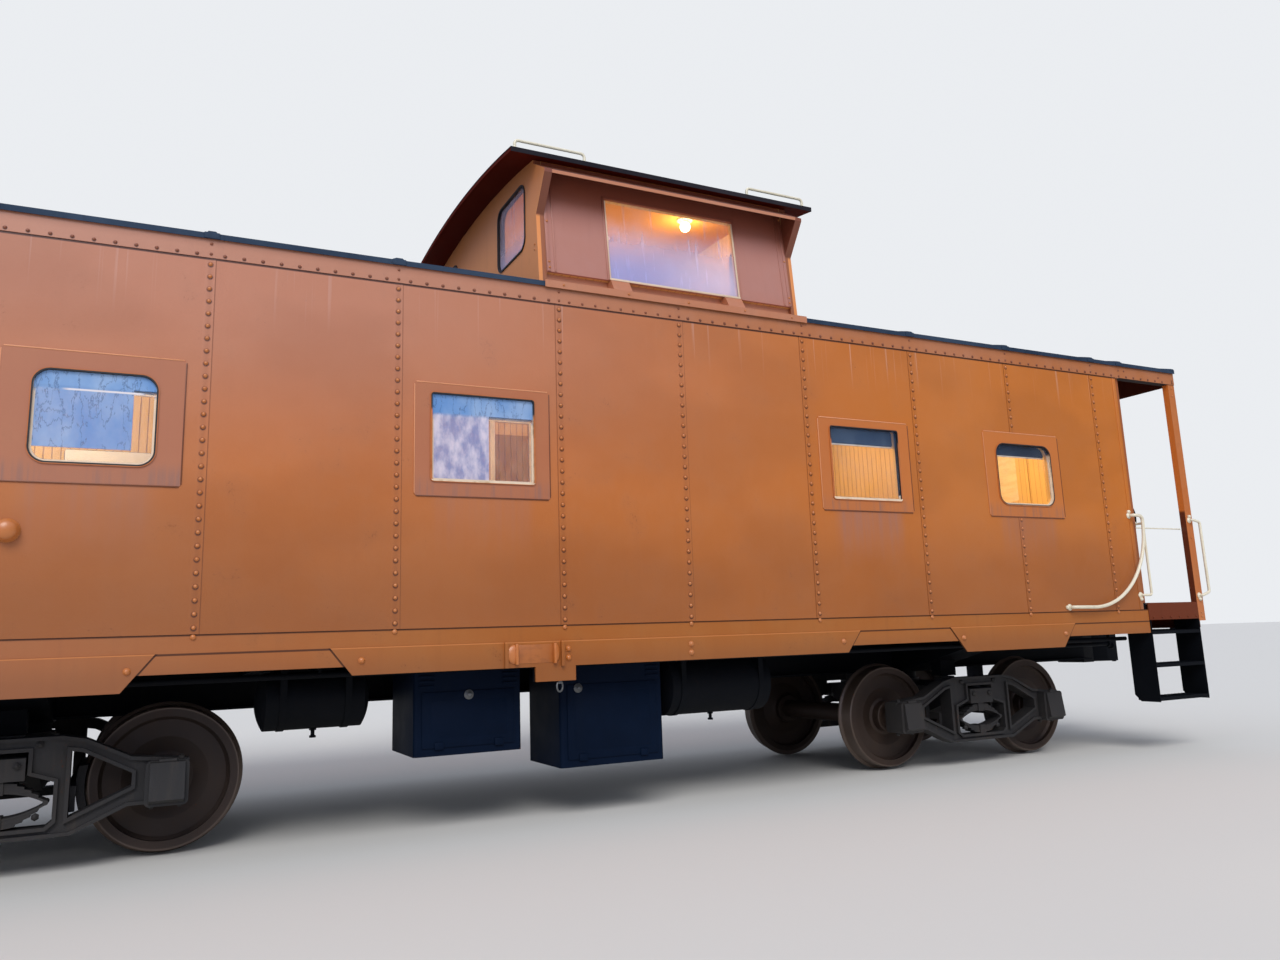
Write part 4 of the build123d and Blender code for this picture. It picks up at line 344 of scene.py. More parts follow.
def halved(way):
    """In edit mode, cuts off what lies behind the origin."""
    bpy.ops.mesh.select_all(action="SELECT")
    bpy.ops.mesh.bisect(plane_co=(0, 0, 0), plane_no=way, clear_inner=True)
    bpy.ops.mesh.select_all(action="SELECT")


def rivet(radius, rise):
    """A low button head, flat underneath, its foot at the origin and its top along +Z."""
    piece = started(sphere, segments=10, ring_count=6, radius=radius)
    halved((0, 0, 1))
    bpy.ops.transform.resize(value=(1, 1, rise / radius))
    return ended(piece, 80)


def repeated(model, places):
    """One mesh made of a copy of the model at each place; the model goes."""
    mesh = model.data
    points = np.array([(*corner.co, 1) for corner in mesh.vertices], np.float32)
    faces = [tuple(face.vertices) for face in mesh.polygons]
    smooth = [face.use_smooth for face in mesh.polygons]
    all_points, all_faces = [], []
    for place in places:
        start = len(all_points) * len(points)
        all_points.append((points @ np.array(place.transposed(), np.float32))[:, :3])
        all_faces += [tuple(start + v for v in face) for face in faces]
    made = bpy.data.meshes.new("copies")
    made.from_pydata(np.concatenate(all_points).tolist(), [], all_faces)
    made.polygons.foreach_set("use_smooth", smooth * len(places))
    bpy.data.objects.remove(model)
    piece = bpy.data.objects.new("copies", made)
    studio.collection.objects.link(piece)
    return piece


def standing(place, way):
    """Stands a model on a surface: its foot at the place, its +Z along the way."""
    return Matrix.Translation(place) @ Vector(way).to_track_quat("Z", "Y").to_matrix().to_4x4()


def on_sides(out, places):
    """Facing outwards on both sides, this far from the middle. A place is an x and a z."""
    return [standing((x, side * out, z), (0, side, 0)) for side in SIDES for x, z in places]


def on_ends(out, places, middle=0.0):
    """Facing outwards at both ends, this far from the middle. A place is a y and a z."""
    return [standing((middle + end * out, y, z), (end, 0, 0)) for end in ENDS for y, z in places]


def plate(low, high, rounding):
    """A plate or block between two corners, with its edges rounded."""
    low, high = Vector(low), Vector(high)
    size = [abs(length) for length in high - low]
    piece = started(cube, size=1, location=(low + high) / 2, scale=size)
    bpy.ops.mesh.select_all(action="SELECT")
    bpy.ops.mesh.bevel(offset=rounding, segments=2, affect="EDGES")
    return ended(piece)


def side_plates(blocks, rounding):
    """Like plates on both sides: each from and to along the car, outwards and up."""
    return [
        plate((x0, side * out0, z0), (x1, side * out1, z1), rounding)
        for side in SIDES
        for x0, x1, out0, out1, z0, z1 in blocks
    ]


def finished(name, parts, finish, body="body"):
    """Makes the parts one named piece, with its finish and its body."""
    bpy.ops.object.select_all(action="DESELECT")
    for part in parts:
        part.select_set(True)
    piece = bpy.context.view_layer.objects.active = parts[0]
    if len(parts) > 1:
        bpy.ops.object.join()
    piece.name = piece.data.name = name
    piece.data.materials.clear()
    piece.data.materials.append(finish.material)
    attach(piece, body)


def set_out(name, model, places, finish, body="body"):
    """Makes one named piece of a copy of the model at each place."""
    finished(name, [repeated(model, places)], finish, body)


SEAMS = [sign * (FIRST_SEAM + PANEL * k) for k in range(5) for sign in (-1, 1)]
plate_low, plate_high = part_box("window_plates")
COVERED_SEAMS = [s for s in SEAMS if any(a - 0.02 < s < b + 0.02 for a, b in WINDOW_PLATES)]
RIVET_ROWS = [WALL_LOW + 0.035 + k * RIVET_PITCH for k in range(29)]
heads = [
    (seam, z)
    for seam in SEAMS
    for z in RIVET_ROWS
    if seam not in COVERED_SEAMS or not plate_low.z - 0.02 < z < plate_high.z + 0.02
]
rivet_paint = Finish("rivet_paint", (188, 108, 46), (192, 124, 74), 0.45, 0.34)
rivet_paint.set(0.002, Coat_Weight=0.25, Coat_Roughness=0.25)
places = on_sides(WALL_OUT, heads)
set_out("wall_rivets", rivet(0.0125, 0.01), places, rivet_paint)

LAP_WIDE, LAP_DEEP, LAP_EDGE = 0.056, 0.006, 0.0002
spans = [(seam, WALL_LOW, WALL_HIGH) for seam in SEAMS if seam not in COVERED_SEAMS]
for seam in COVERED_SEAMS:
    spans += [(seam, WALL_LOW, plate_low.z + 0.002), (seam, plate_high.z - 0.002, WALL_HIGH)]
strip = (WALL_OUT - 0.001, WALL_OUT + 0.004, WALL_LOW + 0.001, WALL_HIGH - 0.001)
laps = side_plates([(end * (WALL_END - 0.046), end * WALL_END, *strip) for end in ENDS], 0.0015)
for side in SIDES:
    for seam, low, high in spans:
        middle, size = (low + high) / 2, (LAP_WIDE, LAP_DEEP, high - low - 0.001)
        lap = started(cube, size=1, location=(seam, side * WALL_OUT, middle), scale=size)
        outer_hand = math.copysign(1, seam) * (1 if abs(seam) > 1 else -1)
        cage = bmesh.from_edit_mesh(lap.data)
        for corner in cage.verts:
            if (corner.co.x - seam) * outer_hand > 0 and corner.co.y * side > WALL_OUT:
                corner.co.y = side * (WALL_OUT + LAP_EDGE)
        bmesh.update_edit_mesh(lap.data)
        laps.append(ended(lap, 30))
finished("seam_laps", laps, enamel)


def boss(sides, *rings):
    """A round boss with its foot at the origin: each ring is a radius and a height."""
    radius, top = rings[0]
    size = {"vertices": sides, "radius": radius, "depth": top, "location": (0, 0, top / 2)}
    piece = started(bpy.ops.mesh.primitive_cylinder_add, **size)
    for next_radius, next_top in rings[1:]:
        pick(piece, lambda f: f.normal.z > 0.9 and f.calc_center_median().z > top - 0.00001)
        rise = {"value": (0, 0, next_top - top)}
        bpy.ops.mesh.extrude_region_move(TRANSFORM_OT_translate=rise)
        grow = (next_radius / radius, next_radius / radius, 1)
        bpy.ops.transform.resize(value=grow, center_override=(0, 0, next_top))
        radius, top = next_radius, next_top
    return ended(piece, 35)


INLET_X, INLET_Z = -3.64, 1.843
collar = ((0.064, 0.006), (0.058, 0.008), (0.056, 0.038))
dome = ((0.05, 0.053), (0.036, 0.063), (0.018, 0.068), (0.003, 0.07))
places = [standing((INLET_X, -WALL_OUT, INLET_Z), (0, -1, 0))]
set_out("service_inlet", boss(32, *collar, *dome), places, rivet_paint)

# Letterboards: long steel plates along the top of the sides, running on over both
# platforms to carry the hoods, riveted along their lower edge and doubled at the posts.
board_low, board_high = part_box("letterboards")
ROW_Z, ROW_START, ROW_PITCH = board_low.z + 0.019, 0.077, 0.1073
BEAM_OUT = 6.19
posts = sorted(SEAMS)
board_rivets = [(x, z) for x in posts for z in (board_high.z - 0.055, ROW_Z + 0.004)]
for a, b in zip([posts[0] - PANEL] + posts, posts + [posts[-1] + PANEL]):
    run = b - a - 2 * ROW_START
    count = round(run / ROW_PITCH)
    row = [a + ROW_START + k * run / count for k in range(count + 1)]
    board_rivets += [(x, ROW_Z) for x in row if abs(x) < board_high.x - 0.03]
hood_rivets = ((5.36, 3.57), (5.44, 3.57), (5.95, 3.55), (6.155, 3.535))
board_rivets += [(end * x, z) for end in ENDS for x, z in hood_rivets]
places = on_sides(board_high.y, board_rivets)
places += on_ends(BEAM_OUT, [(-1.35 + k * 0.15, 3.53) for k in range(19)])
board = Finish("letterboard_paint", (176, 106, 58), (182, 122, 90), 0.4, 0.42, 0.25)
# Pinker towards the rear end: painted reflection of the sky.
board.tint((190, 138, 122), (2.5 - board.x).rise(0.0, 6.0) * 0.5)
board.tint(GRIME_AND_SHADE, board.z.rise(3.55, 3.63) * 0.4)
panel_step = (abs(board.x) - FIRST_SEAM) / PANEL
in_panel = (panel_step - panel_step.stepped()) * PANEL
rivet_step = (in_panel - ROW_START) / ROW_PITCH
along_gap = abs(rivet_step - rivet_step.nearest()) * ROW_PITCH
# The same dark ring below each row rivet: painted shadow of the head, with some dirt.
up_gap = board.z - ROW_Z + 0.003
ring = (along_gap * along_gap + up_gap * up_gap).root().fall(0.009, 0.015)
board.tint((64, 32, 20), ring * panel_step.rise(0, 0.01) * 0.75)
# The inner face of the boards: the dark ceiling shade in the rooms, and over the platforms a dark
# red brown as painted shade.
over_platform = abs(board.x).rise(5.35, 5.37)
shaded_hidden_face = board.blend(UNLIT_CEILING_SHADE, (70, 28, 18), over_platform)
board.tint(shaded_hidden_face, abs(board.y).fall(1.5, 1.51))
# The lower edge over the platforms is near black and dull: painted shade under the hood.
shaded_lower_edge = board.z.fall(board_low.z + 0.0004, board_low.z + 0.0016) * over_platform
board.tint((30, 12, 8), shaded_lower_edge)
board.gloss = board.gloss * (1 - shaded_lower_edge) + shaded_lower_edge
board.height = board.height + board.noise(1.3, 2) * 0.8
board.set(0.006, Coat_Weight=0.3 - shaded_lower_edge * 0.3, Coat_Roughness=0.25)
board.paint("letterboards", "hood_ends")
head = Finish("letterboard_rivet_paint", (128, 70, 46), (140, 84, 58), 0.5, 0.4, grime=(70, 38, 24))
set_out("letterboard_rivets", rivet(0.0095, 0.007), places, head.set(0.002))

# Window plates, rubber rims and panes: square doubler plates over the old openings,
# glass held by black rubber, with dust in the corners and a haze of old sealant, and
# painted reflections of the sky and branches on the glass.
plates = Finish("window_plate_paint", (180, 102, 52), ORANGE_FADED, 0.45, 0.45, 0.15, (120, 78, 60))
# Pinker towards the rear end: painted reflection of the sky.
plates.tint((164, 108, 88), (2.0 - plates.x).rise(0.0, 5.0) * 0.5)
plates.tint((204, 116, 38), plates.x.rise(0.0, 3.0) * 0.6)
runs_down = plates.noise(3.5, 4, (10, 10, 0.4)).rise(0.45, 0.75)
plates.tint((128, 98, 92), (runs_down * 0.5 + 0.12) * plates.z.fall(2.15, 2.26))
plates.set(0.004, Coat_Weight=0.3, Coat_Roughness=0.25)
plates.paint("window_plates")

# Beads round each plate: pale ones along the top and left edges as painted highlight, dark ones
# along the bottom and right edges as painted shadow.
BEAD, BEAD_FACES = 0.0065, (1.5245, 1.5325)
painted_highlight, painted_shade = [], []
for (left, right), (low, high) in zip(WINDOW_PLATES, ((2.109, 2.846),) * 3 + ((2.106, 2.85),)):
    along, up = (left + 0.01, right - 0.01), (low + 0.012, high - 0.012)
    painted_highlight.append((*along, *BEAD_FACES, high - 0.002, high + BEAD))
    painted_highlight.append((left - BEAD * 0.6, left + 0.002, *BEAD_FACES, *up))
    painted_shade.append((*along, *BEAD_FACES, low - BEAD, low + 0.002))
    painted_shade.append((right - 0.002, right + BEAD * 0.8, *BEAD_FACES, *up))
for part, bars, colour, worn_colour in (
    ("painted_highlight", painted_highlight, (218, 150, 108), (196, 122, 76)),
    ("painted_shade", painted_shade, (104, 54, 28), (132, 76, 44)),
):
    bead_paint = Finish(f"bead_paint_{part}", colour, worn_colour, 0.4).set(0.002)
    finished(f"plate_beads_{part}", side_plates(bars, 0.0025), bead_paint)

# Of each pane, its middle along the car and up, its width, height and corner radius.
PANES = (
    (-3.271, 2.477, 0.603, 0.51, 0.083),
    (-1.032, 2.494, 0.69, 0.563, 0.012),
    (2.155, 2.49, 0.677, 0.569, 0.012),
    (3.941, 2.48, 0.657, 0.528, 0.088),
)
FIRST_X, SECOND_X, THIRD_X, FOURTH_X = (x for x, *_ in PANES)


def beyond_pane(finish):
    """Distance outwards from the edge of the nearest side pane, below 0 on the pane."""
    nearest = 1.0
    for x, z, wide, high, corner in PANES:
        over_x = (abs(finish.x - x) - (wide / 2 - corner)).at_least(0.0)
        over_z = (abs(finish.z - z) - (high / 2 - corner)).at_least(0.0)
        nearest = ((over_x * over_x + over_z * over_z).root() - corner).at_most(nearest)
    return nearest


rubber = Finish("rim_rubber")
worn = rubber.noise(14, 5).rise(0.45, 0.75)
rubber.tone = rubber.blend((16, 16, 20), (48, 44, 44), worn * 0.6)
third = rubber.x.near(THIRD_X, 0.5)
squared = rubber.x.near(SECOND_X, 0.5) + third
in_side = rubber.z.fall(3.2, 3.3)
proud = abs(rubber.y).rise(1.5365, 1.537)
below = rubber.z.fall(2.66, 2.69)
painted = rubber.blend((184, 106, 54), (160, 92, 48), worn)
rubber.tint(painted, squared * proud * below * in_side)
# Cream frame showing only along the bottom and on the lower inner reveals: the frame's colour,
# lighter there as painted highlight where light falls, while the tops keep the dark rubber.
cream_and_highlight = rubber.blend((228, 208, 184), (196, 168, 136), worn)
bottom = rubber.z.fall(2.212, 2.216)
rubber.tint(cream_and_highlight, bottom * (1 - proud * (1 - squared) * 0.75) * in_side)
inner_face_light_and_shade = (1 - proud) * below * (1 - third) * in_side
rubber.tint(cream_and_highlight, inner_face_light_and_shade * (1 - worn * 0.3))
rubber.tint(painted, beyond_pane(rubber).rise(0.0085, 0.0095) * in_side)
rubber.gloss, rubber.height = 0.55 + worn * 0.3, rubber.noise(40, 4) * 0.4
rubber.set(0.002).paint("window_rims")

pane = Finish("dusty_glass")
smear = pane.noise(2.6, 5, (1, 1, 0.6)).rise(0.35, 0.75)
dust = pane.noise(45, 5).rise(0.5, 0.8)
mottle = pane.noise(10, 4, (1.6, 1, 0.8)).rise(0.3, 0.72)
branch_reflection = abs(pane.noise(6, 6, (2.4, 1, 0.8), 0.6) - 0.5).rise(0.0, 0.018)
# The glass colour is painted reflection of the sky, blue with pale streaks, crossed by painted
# reflections of branches.
pane.tone = pane.blend((86, 150, 222), (126, 180, 232), smear)
pane.tint((206, 214, 236), smear * 0.4 + 0.12)
pane.tone = pane.blend((62, 84, 124), pane.tone, branch_reflection * 0.6 + 0.4)
# Pale blue and white patches on the left of the second pane: painted reflection.
second = pane.x.near(SECOND_X, 0.45) * pane.z.fall(2.63, 2.66)
pane.tint(pane.blend((128, 152, 210), (226, 220, 238), mottle), second)
upper = pane.z.rise(2.645, 2.655)
cover = 0.1 + smear * 0.12
reflection_cover = pane.z.rise(2.3, 2.31) * pane.x.fall(-3.09, -3.08)
# A white line on the first pane just under the blind: painted highlight of the lit hem.
hem_highlight = pane.z.near(2.632, 0.004, 0.003) * pane.x.near(-3.23, 0.17, 0.05)
pane.tint((240, 234, 240), hem_highlight)
left_half = pane.x.fall(-1.0, -0.992)
# How thickly each side pane shows its painted reflection and haze: most on the band at the top, on
# the first pane's rear part and on the second pane's left half.
for middle, haze_and_reflection in (
    (FIRST_X, (0.12 + reflection_cover * 0.64) * (1 - upper) + upper * 0.84),
    (SECOND_X, (0.1 + left_half * (0.5 + mottle * 0.2)) * (1 - upper) + upper * 0.78),
    (THIRD_X, 0.05 + upper * 0.04),
    (FOURTH_X, 0.02 + upper * 0.02),
):
    this_one = pane.x.near(middle, 0.45) * pane.z.fall(3.2, 3.3)
    cover = cover * (1 - this_one) + (haze_and_reflection + (smear - 0.5) * 0.06) * this_one
CUPOLA_X = 0.529
in_cupola = pane.z.rise(3.5, 3.6)
low_left = pane.x.fall(0.1, 1.0) * pane.z.fall(3.85, 4.25)
# Pale lilac on the cupola panes, bluer low towards the rear: painted reflection of the sky.
pane.tint(pane.blend((218, 208, 238), (172, 178, 234), low_left), in_cupola)
washed = pane.noise(2.4, 4, (11, 11, 0.3)).rise(0.56, 0.7)
on_end = abs(pane.x - CUPOLA_X).rise(1.05, 1.06)
cupola_haze_and_reflection = 0.66 - pane.z.rise(3.85, 4.36) * 0.58 + (smear - 0.5) * 0.12
cupola_haze_and_reflection = cupola_haze_and_reflection + washed * 0.2 + on_end * 0.18
cover = cover * (1 - in_cupola) + cupola_haze_and_reflection * in_cupola + dust * 0.03
sealant = beyond_pane(pane).rise(-0.012, -0.0105) * pane.z.fall(2.6, 2.64) * (1 - in_cupola)
sealant = sealant * (1 - pane.x.near(THIRD_X, 0.45) * pane.z.rise(2.24, 2.25))
pane.tint((226, 208, 186), sealant)
cover = cover.at_least(sealant * 0.95).at_least(hem_highlight * 0.85)
pane.gloss, pane.height = 0.06 + smear * 0.1 + dust * 0.1, pane.noise(1.4, 2)
pane.set(0.004, Alpha=cover, IOR=1.5).paint("window_glass", "door_glass_front", "door_glass_rear")

# Side sills: pressed channels with deep plates riveted over them at the trucks and
# amidships, where the jacking pad and the flanged lifting pocket are.
TRUCK_X = 3.64
sill = Finish("sill_paint", (162, 92, 34), (166, 104, 52), 0.5, 0.5, 0.2, SILL_GRIME)
sill.tint((162, 108, 84), sill.x.fall(-4.5, -0.5) * 0.5)
sill.tint((92, 60, 44), sill.z.fall(1.0, 1.2) * 0.3)
on_plate = abs(sill.y).rise(1.521, 1.5215)
drop = 1.177 - sill.z
middle_slant = abs(sill.x) - (1.978 - drop * 0.79) - 0.005
truck_slant = abs(abs(sill.x) - TRUCK_X) - (0.733 - drop * 0.801) - 0.005
slant = middle_slant.near(0, 0.006, 0.004) + truck_slant.near(0, 0.006, 0.004)
slant = slant * drop.rise(-0.002, 0.002)
# Dark lines under the wall's lower edge, under the sill lip and along the slanted plate ends:
# painted shadow, with some dirt under the lip.
sill_shadow_lines = sill.z.rise(1.266, 1.274) + sill.z.near(1.171, 0.004, 0.004) + slant
sill.tint((60, 28, 14), sill_shadow_lines * (1 - on_plate) * 0.85)
# A light line along the top edge of the deep plates: painted highlight.
sill.tint((206, 130, 74), sill.z.rise(1.168, 1.174) * on_plate * 0.7)
sill.tint((14, 15, 19), abs(sill.y).fall(1.5075, 1.5085))
sill.height = sill.height + sill.noise(1.8, 2) * 0.6
sill.set(0.005, Coat_Weight=0.1, Specular_IOR_Level=0.3).paint("side_sills")

places = on_sides(1.519, [(seam, 1.264) for seam in SEAMS])
set_out("sill_rivets", rivet(0.016, 0.011), places, rivet_paint)
bolts = [(-1.797, 1.1), (1.808, 1.1)]
bolts += [(x, z) for x in (-0.462, 0.47) for z in (1.124, 1.066)]
bolts += [(end * TRUCK_X + reach, 1.09) for end in ENDS for reach in (-0.6, 0.6)]
bolt = boss(16, (0.02, 0.003), (0.017, 0.004), (0.0155, 0.011), (0.01, 0.016), (0.002, 0.018))
set_out("sill_bolts", bolt, on_sides(WALL_OUT, bolts), rivet_paint)

# Lifting pocket by the jacking pad: a recess between two upright flanges, each braced
# by a pressed half-round gusset, and a hanging ring welded under the pad.
# Of each flange, its place along the car, the hand of its gusset and how far that reaches.
FLANGES = ((-0.826, -1, 0.058), (-0.563, 1, 0.03))
flange = (1.524, 1.556, 1.034, 1.164)
gussets = side_plates([(x - 0.009, x + 0.009, *flange) for x, *_ in FLANGES], 0.004)
for side in SIDES:
    for x, hand, reach in FLANGES:
        gusset = started(sphere, segments=32, ring_count=16, radius=1)
        halved((hand, 0, 0))
        halved((0, side, 0))
        bpy.ops.transform.resize(value=(reach, 0.022, 0.062), center_override=(0, 0, 0))
        bpy.ops.transform.translate(value=(x + hand * 0.008, side * 1.5248, 1.099))
        gussets.append(ended(gusset, 60))
finished("pocket_gussets", gussets, rivet_paint)
pocket = Finish("pocket_paint", (170, 98, 44), (168, 106, 60), 0.5, grime=SILL_GRIME)
rub = pocket.noise(18, 5, (1, 1, 2.2)).rise(0.5, 0.66)
pocket.tint((130, 74, 38), rub * 0.3)
linings = side_plates([(-0.817, -0.572, 1.5245, 1.5275, 1.04, 1.158)], 0.001)
finished("pocket_linings", linings, pocket.set(0.003))

grey = Finish("galvanised_grey", (96, 98, 100), (132, 134, 136), 0.8, 0.5, grime=(64, 58, 54))
grey.set(0.002, Metallic=0.5)
rings = side_plates([(-0.53, -0.502, 1.49, 1.504, 0.9, 0.922)], 0.003)
size = {"major_radius": 0.034, "minor_radius": 0.006, "major_segments": 28, "minor_segments": 10}
for side in SIDES:
    size.update(location=(-0.516, side * 1.497, 0.884), rotation=(math.radians(90), 0, 0.6))
    rings.append(ended(started(bpy.ops.mesh.primitive_torus_add, **size)))
finished("hanging_rings", rings, grey)

# Roof: arched steel sheets with raised cross seams, tarred over and weathered to a
# bluish black. Under the hoods and in the rooms the same arch is painted, in colours
# darkened as painted shade.
SHADED_SOFFIT, WARM_CEILING = (86, 22, 7), (216, 150, 76)
ROOF_R, ROOF_CENTRE_Z, ROOF_EDGE = 5.093, -1.206, 1.549
CUPOLA_R, CUPOLA_TOP = 8.784, 4.79


def arched_finish(name, tar, faded, radius, centre_z, edge_y, inside, middle, reach, room_y):
    """Tar on top of an arched sheet and on its edges, other colours underneath."""
    made = Finish(name, tar, faded, 0.7, 0.68, 0.3, (30, 32, 38), (58, 50, 46))
    drop = made.z - centre_z
    arch = (made.y * made.y + drop * drop).root()
    below = arch.fall(radius - 0.012, radius - 0.008)
    below = below * abs(made.y).fall(edge_y - 0.004, edge_y - 0.001)
    indoors = made.x.near(middle, reach, 0.01) * made.y.near(0, room_y, 0.01)
    # Under the hoods a dark red brown as painted shade, in the rooms the ceiling colour.
    made.tint(made.blend(SHADED_SOFFIT, inside, indoors), below)
    grit = made.noise(160, 3) * 0.14 + made.noise(9, 4) * 0.4
    made.height = (made.height + grit) * (1 - below * 0.8)
    return made.set(0.008, Specular_IOR_Level=0.04)


arch = (ROOF_R, ROOF_CENTRE_Z, 1.545, UNLIT_CEILING_SHADE, 0, 5.35, 1.46)
roof_tar = arched_finish("roof_tar", (40, 53, 72), (66, 82, 104), *arch)
roof_tar.paint("roof", "roof_strips")
arch = (CUPOLA_R, CUPOLA_TOP - CUPOLA_R, 1.447, WARM_CEILING, CUPOLA_X, 1.06, 1.345)
arched_finish("cupola_tar", (34, 33, 40), (58, 54, 60), *arch).paint("cupola_roof")

SEAM_W, SEAM_H, SEAM_SINK = 0.07, 0.012, 0.004
crossings = sorted(SEAMS + [-5.36, 5.36])
roof_seams = []
for x in crossings + [-6.16, 6.16]:
    if -0.55 < x < 1.6:
        continue
    bar = started(cube, size=1, location=(x, 0, 0), scale=(SEAM_W, 2 * ROOF_EDGE, SEAM_H))
    bpy.ops.mesh.select_all(action="DESELECT")
    cage = bmesh.from_edit_mesh(bar.data)
    for edge in cage.edges:
        edge.select_set(abs(edge.verts[0].co.y - edge.verts[1].co.y) > ROOF_EDGE)
    bmesh.update_edit_mesh(bar.data)
    bpy.ops.mesh.subdivide(number_cuts=39)
    cage = bmesh.from_edit_mesh(bar.data)
    for corner in cage.verts:
        out = ROOF_R - SEAM_SINK
        if corner.co.z > 0:
            out = ROOF_R + SEAM_H
            corner.co.x = x + (corner.co.x - x) * 0.6
        corner.co.z = ROOF_CENTRE_Z + math.sqrt(out**2 - corner.co.y**2)
    bmesh.update_edit_mesh(bar.data)
    roof_seams.append(ended(bar, 30))
finished("roof_seams", roof_seams, roof_tar)
lumps = [(x - 0.045, x + 0.045, 1.535, 1.553, 3.612, 3.652) for x in crossings]
lumps = side_plates([lump for lump in lumps if not -0.6 < lump[0] + 0.045 < 1.66], 0.007)
finished("roof_edge_laps", lumps, roof_tar)

# Cupola: walls, visors and sills of folded sheet in the body colour, more worn than the
# sides, darker than them high up as painted shade, with its sides pink as painted
# reflection of the sky. Its inside is boarded and varnished.
ends = Finish("cupola_end_paint", (226, 140, 72), (226, 150, 92), 0.35, 0.5, 0.2)
# Darker towards the roof: painted shade under its overhang.
ends.tint((110, 52, 28), ends.z.rise(4.15, 4.65) * 0.4)
# The inner faces and wings dark, most high up: painted shade.
wing_shade = ends.x.near(CUPOLA_X, 1.0575, 0.0008)
ends.tint((74, 32, 18), wing_shade * (ends.z.rise(4.08, 4.2) * 0.7 + 0.22))
# The folded edge strips dark above the kink and on their inner half below it: painted shade.
on_edge = ends.x.near(CUPOLA_X, 1.1165, 0.0003)
above_kink = ends.z.rise(4.19, 4.22)
bright_part = abs(ends.x - CUPOLA_X).rise(1.086, 1.09)
edge_shade = on_edge * (above_kink * 0.92 + (1 - above_kink) * (1 - bright_part) * 0.75)
ends.tint((112, 54, 36), edge_shade)
wood, _ = ends.boarding(ends.y)
ends.tint(wood, ends.x.near(CUPOLA_X, 1.0585, 0.001) * ends.y.near(0, 1.36, 0.01))
ends.set(0.005, Coat_Weight=0.25, Coat_Roughness=0.28).paint("cupola_ends")

# Pink on the sides as painted reflection of the sky, and dark towards the top as painted shade
# under the visors.
sides = Finish("cupola_side_paint", (176, 116, 98), (178, 126, 116), 0.35, 0.4, 0.2)
sides.tint((120, 54, 34), sides.z.rise(4.05, 4.5) * 0.85)
leaning = abs(sides.y) + (sides.z - 3.765) * 0.1104
wood, _ = sides.boarding(sides.x)
sides.tint(wood, leaning.fall(1.42, 1.43))
sides.set(0.005, Coat_Weight=0.35, Coat_Roughness=0.25).paint("cupola_sides")

trim = Finish("cupola_trim_paint", (186, 118, 82), (190, 132, 104), 0.5, 0.42, 0.2)
lip = trim.z.fall(4.486, 4.492)
face = abs(trim.y).rise(1.5655, 1.5665)
# Dark on the visors except their front lip: painted shade on their undersides.
trim.tint((84, 38, 24), trim.z.rise(4.0, 4.1) * (1 - face * lip) * 0.85)
trim.height = trim.height + trim.noise(1.6, 2) * 0.7
trim.set(0.005, Coat_Weight=0.3, Coat_Roughness=0.25).paint("cupola_sills", "cupola_visors")

SIDE_LEAN = math.radians(6.3)


def on_cupola_side(side, along=0.0, up=0.0, out=0.0):
    """The place on a leaning cupola side: along the car, up the slope, out of the face."""
    foot = Vector((CUPOLA_X + along, side * 1.443, 3.765))
    slope = Vector((0, -side * math.sin(SIDE_LEAN), math.cos(SIDE_LEAN)))
    away = Vector((0, side * math.cos(SIDE_LEAN), math.sin(SIDE_LEAN)))
    return foot + slope * up + away * out


def leaning_strips(strips):
    """Flat strips on both leaning sides: from and to along, from and to up, and out."""
    made = []
    for side in SIDES:
        turn = Matrix.Translation(on_cupola_side(side)) @ Matrix.Rotation(side * SIDE_LEAN, 4, "X")
        for left, right, low, high, out in strips:
            strip = plate((left, -0.001, low), (right, out, high), 0.0012)
            strip.data.transform(turn @ Matrix.Diagonal((1, side, 1, 1)))
            bpy.context.view_layer.objects.active = strip
            bpy.ops.object.mode_set(mode="EDIT")
            made.append(ended(strip))
    return made


frames = [(-0.584, 0.584, 0.674, 0.694, 0.006)]
frames += [(*along, 0.0, 0.69, 0.006) for along in ((-0.584, -0.565), (0.565, 0.584))]
corners = ((-1.056, -1.03), (1.03, 1.056), (-1.0, -0.985), (0.985, 1.0))
frames += [(*along, 0.004, 0.83, 0.005) for along in corners]
finished("cupola_window_frames", leaning_strips(frames), sides)
sashes = [(-0.566, 0.566, 0.0, 0.016, 0.008)]
sashes += [(*along, 0.016, 0.66, 0.004) for along in ((-0.566, -0.555), (0.552, 0.566))]
cream = Finish("sash_cream", (222, 200, 176), (206, 184, 156), 0.6, 0.5, grime=(120, 96, 80))
finished("cupola_sash_bottoms", leaning_strips(sashes), cream.set(0.002))

places = on_sides(1.552, [(x, 3.632) for x in (-0.45, 0.06, 0.56, 1.06, 1.5)])
for side in SIDES:
    for along in (-1.04, 1.04):
        for up in (0.03, 0.075, 0.4, 0.78):
            way = (0, side, math.tan(SIDE_LEAN))
            places.append(standing(on_cupola_side(side, along, up, 0.005), way))
corners = [(y, z) for y in (-1.36, -0.5, 0, 0.5, 1.36) for z in (3.95, 3.99)]
places += on_ends(1.117, corners, CUPOLA_X)
set_out("cupola_rivets", rivet(0.0095, 0.006), places, rivet_paint)

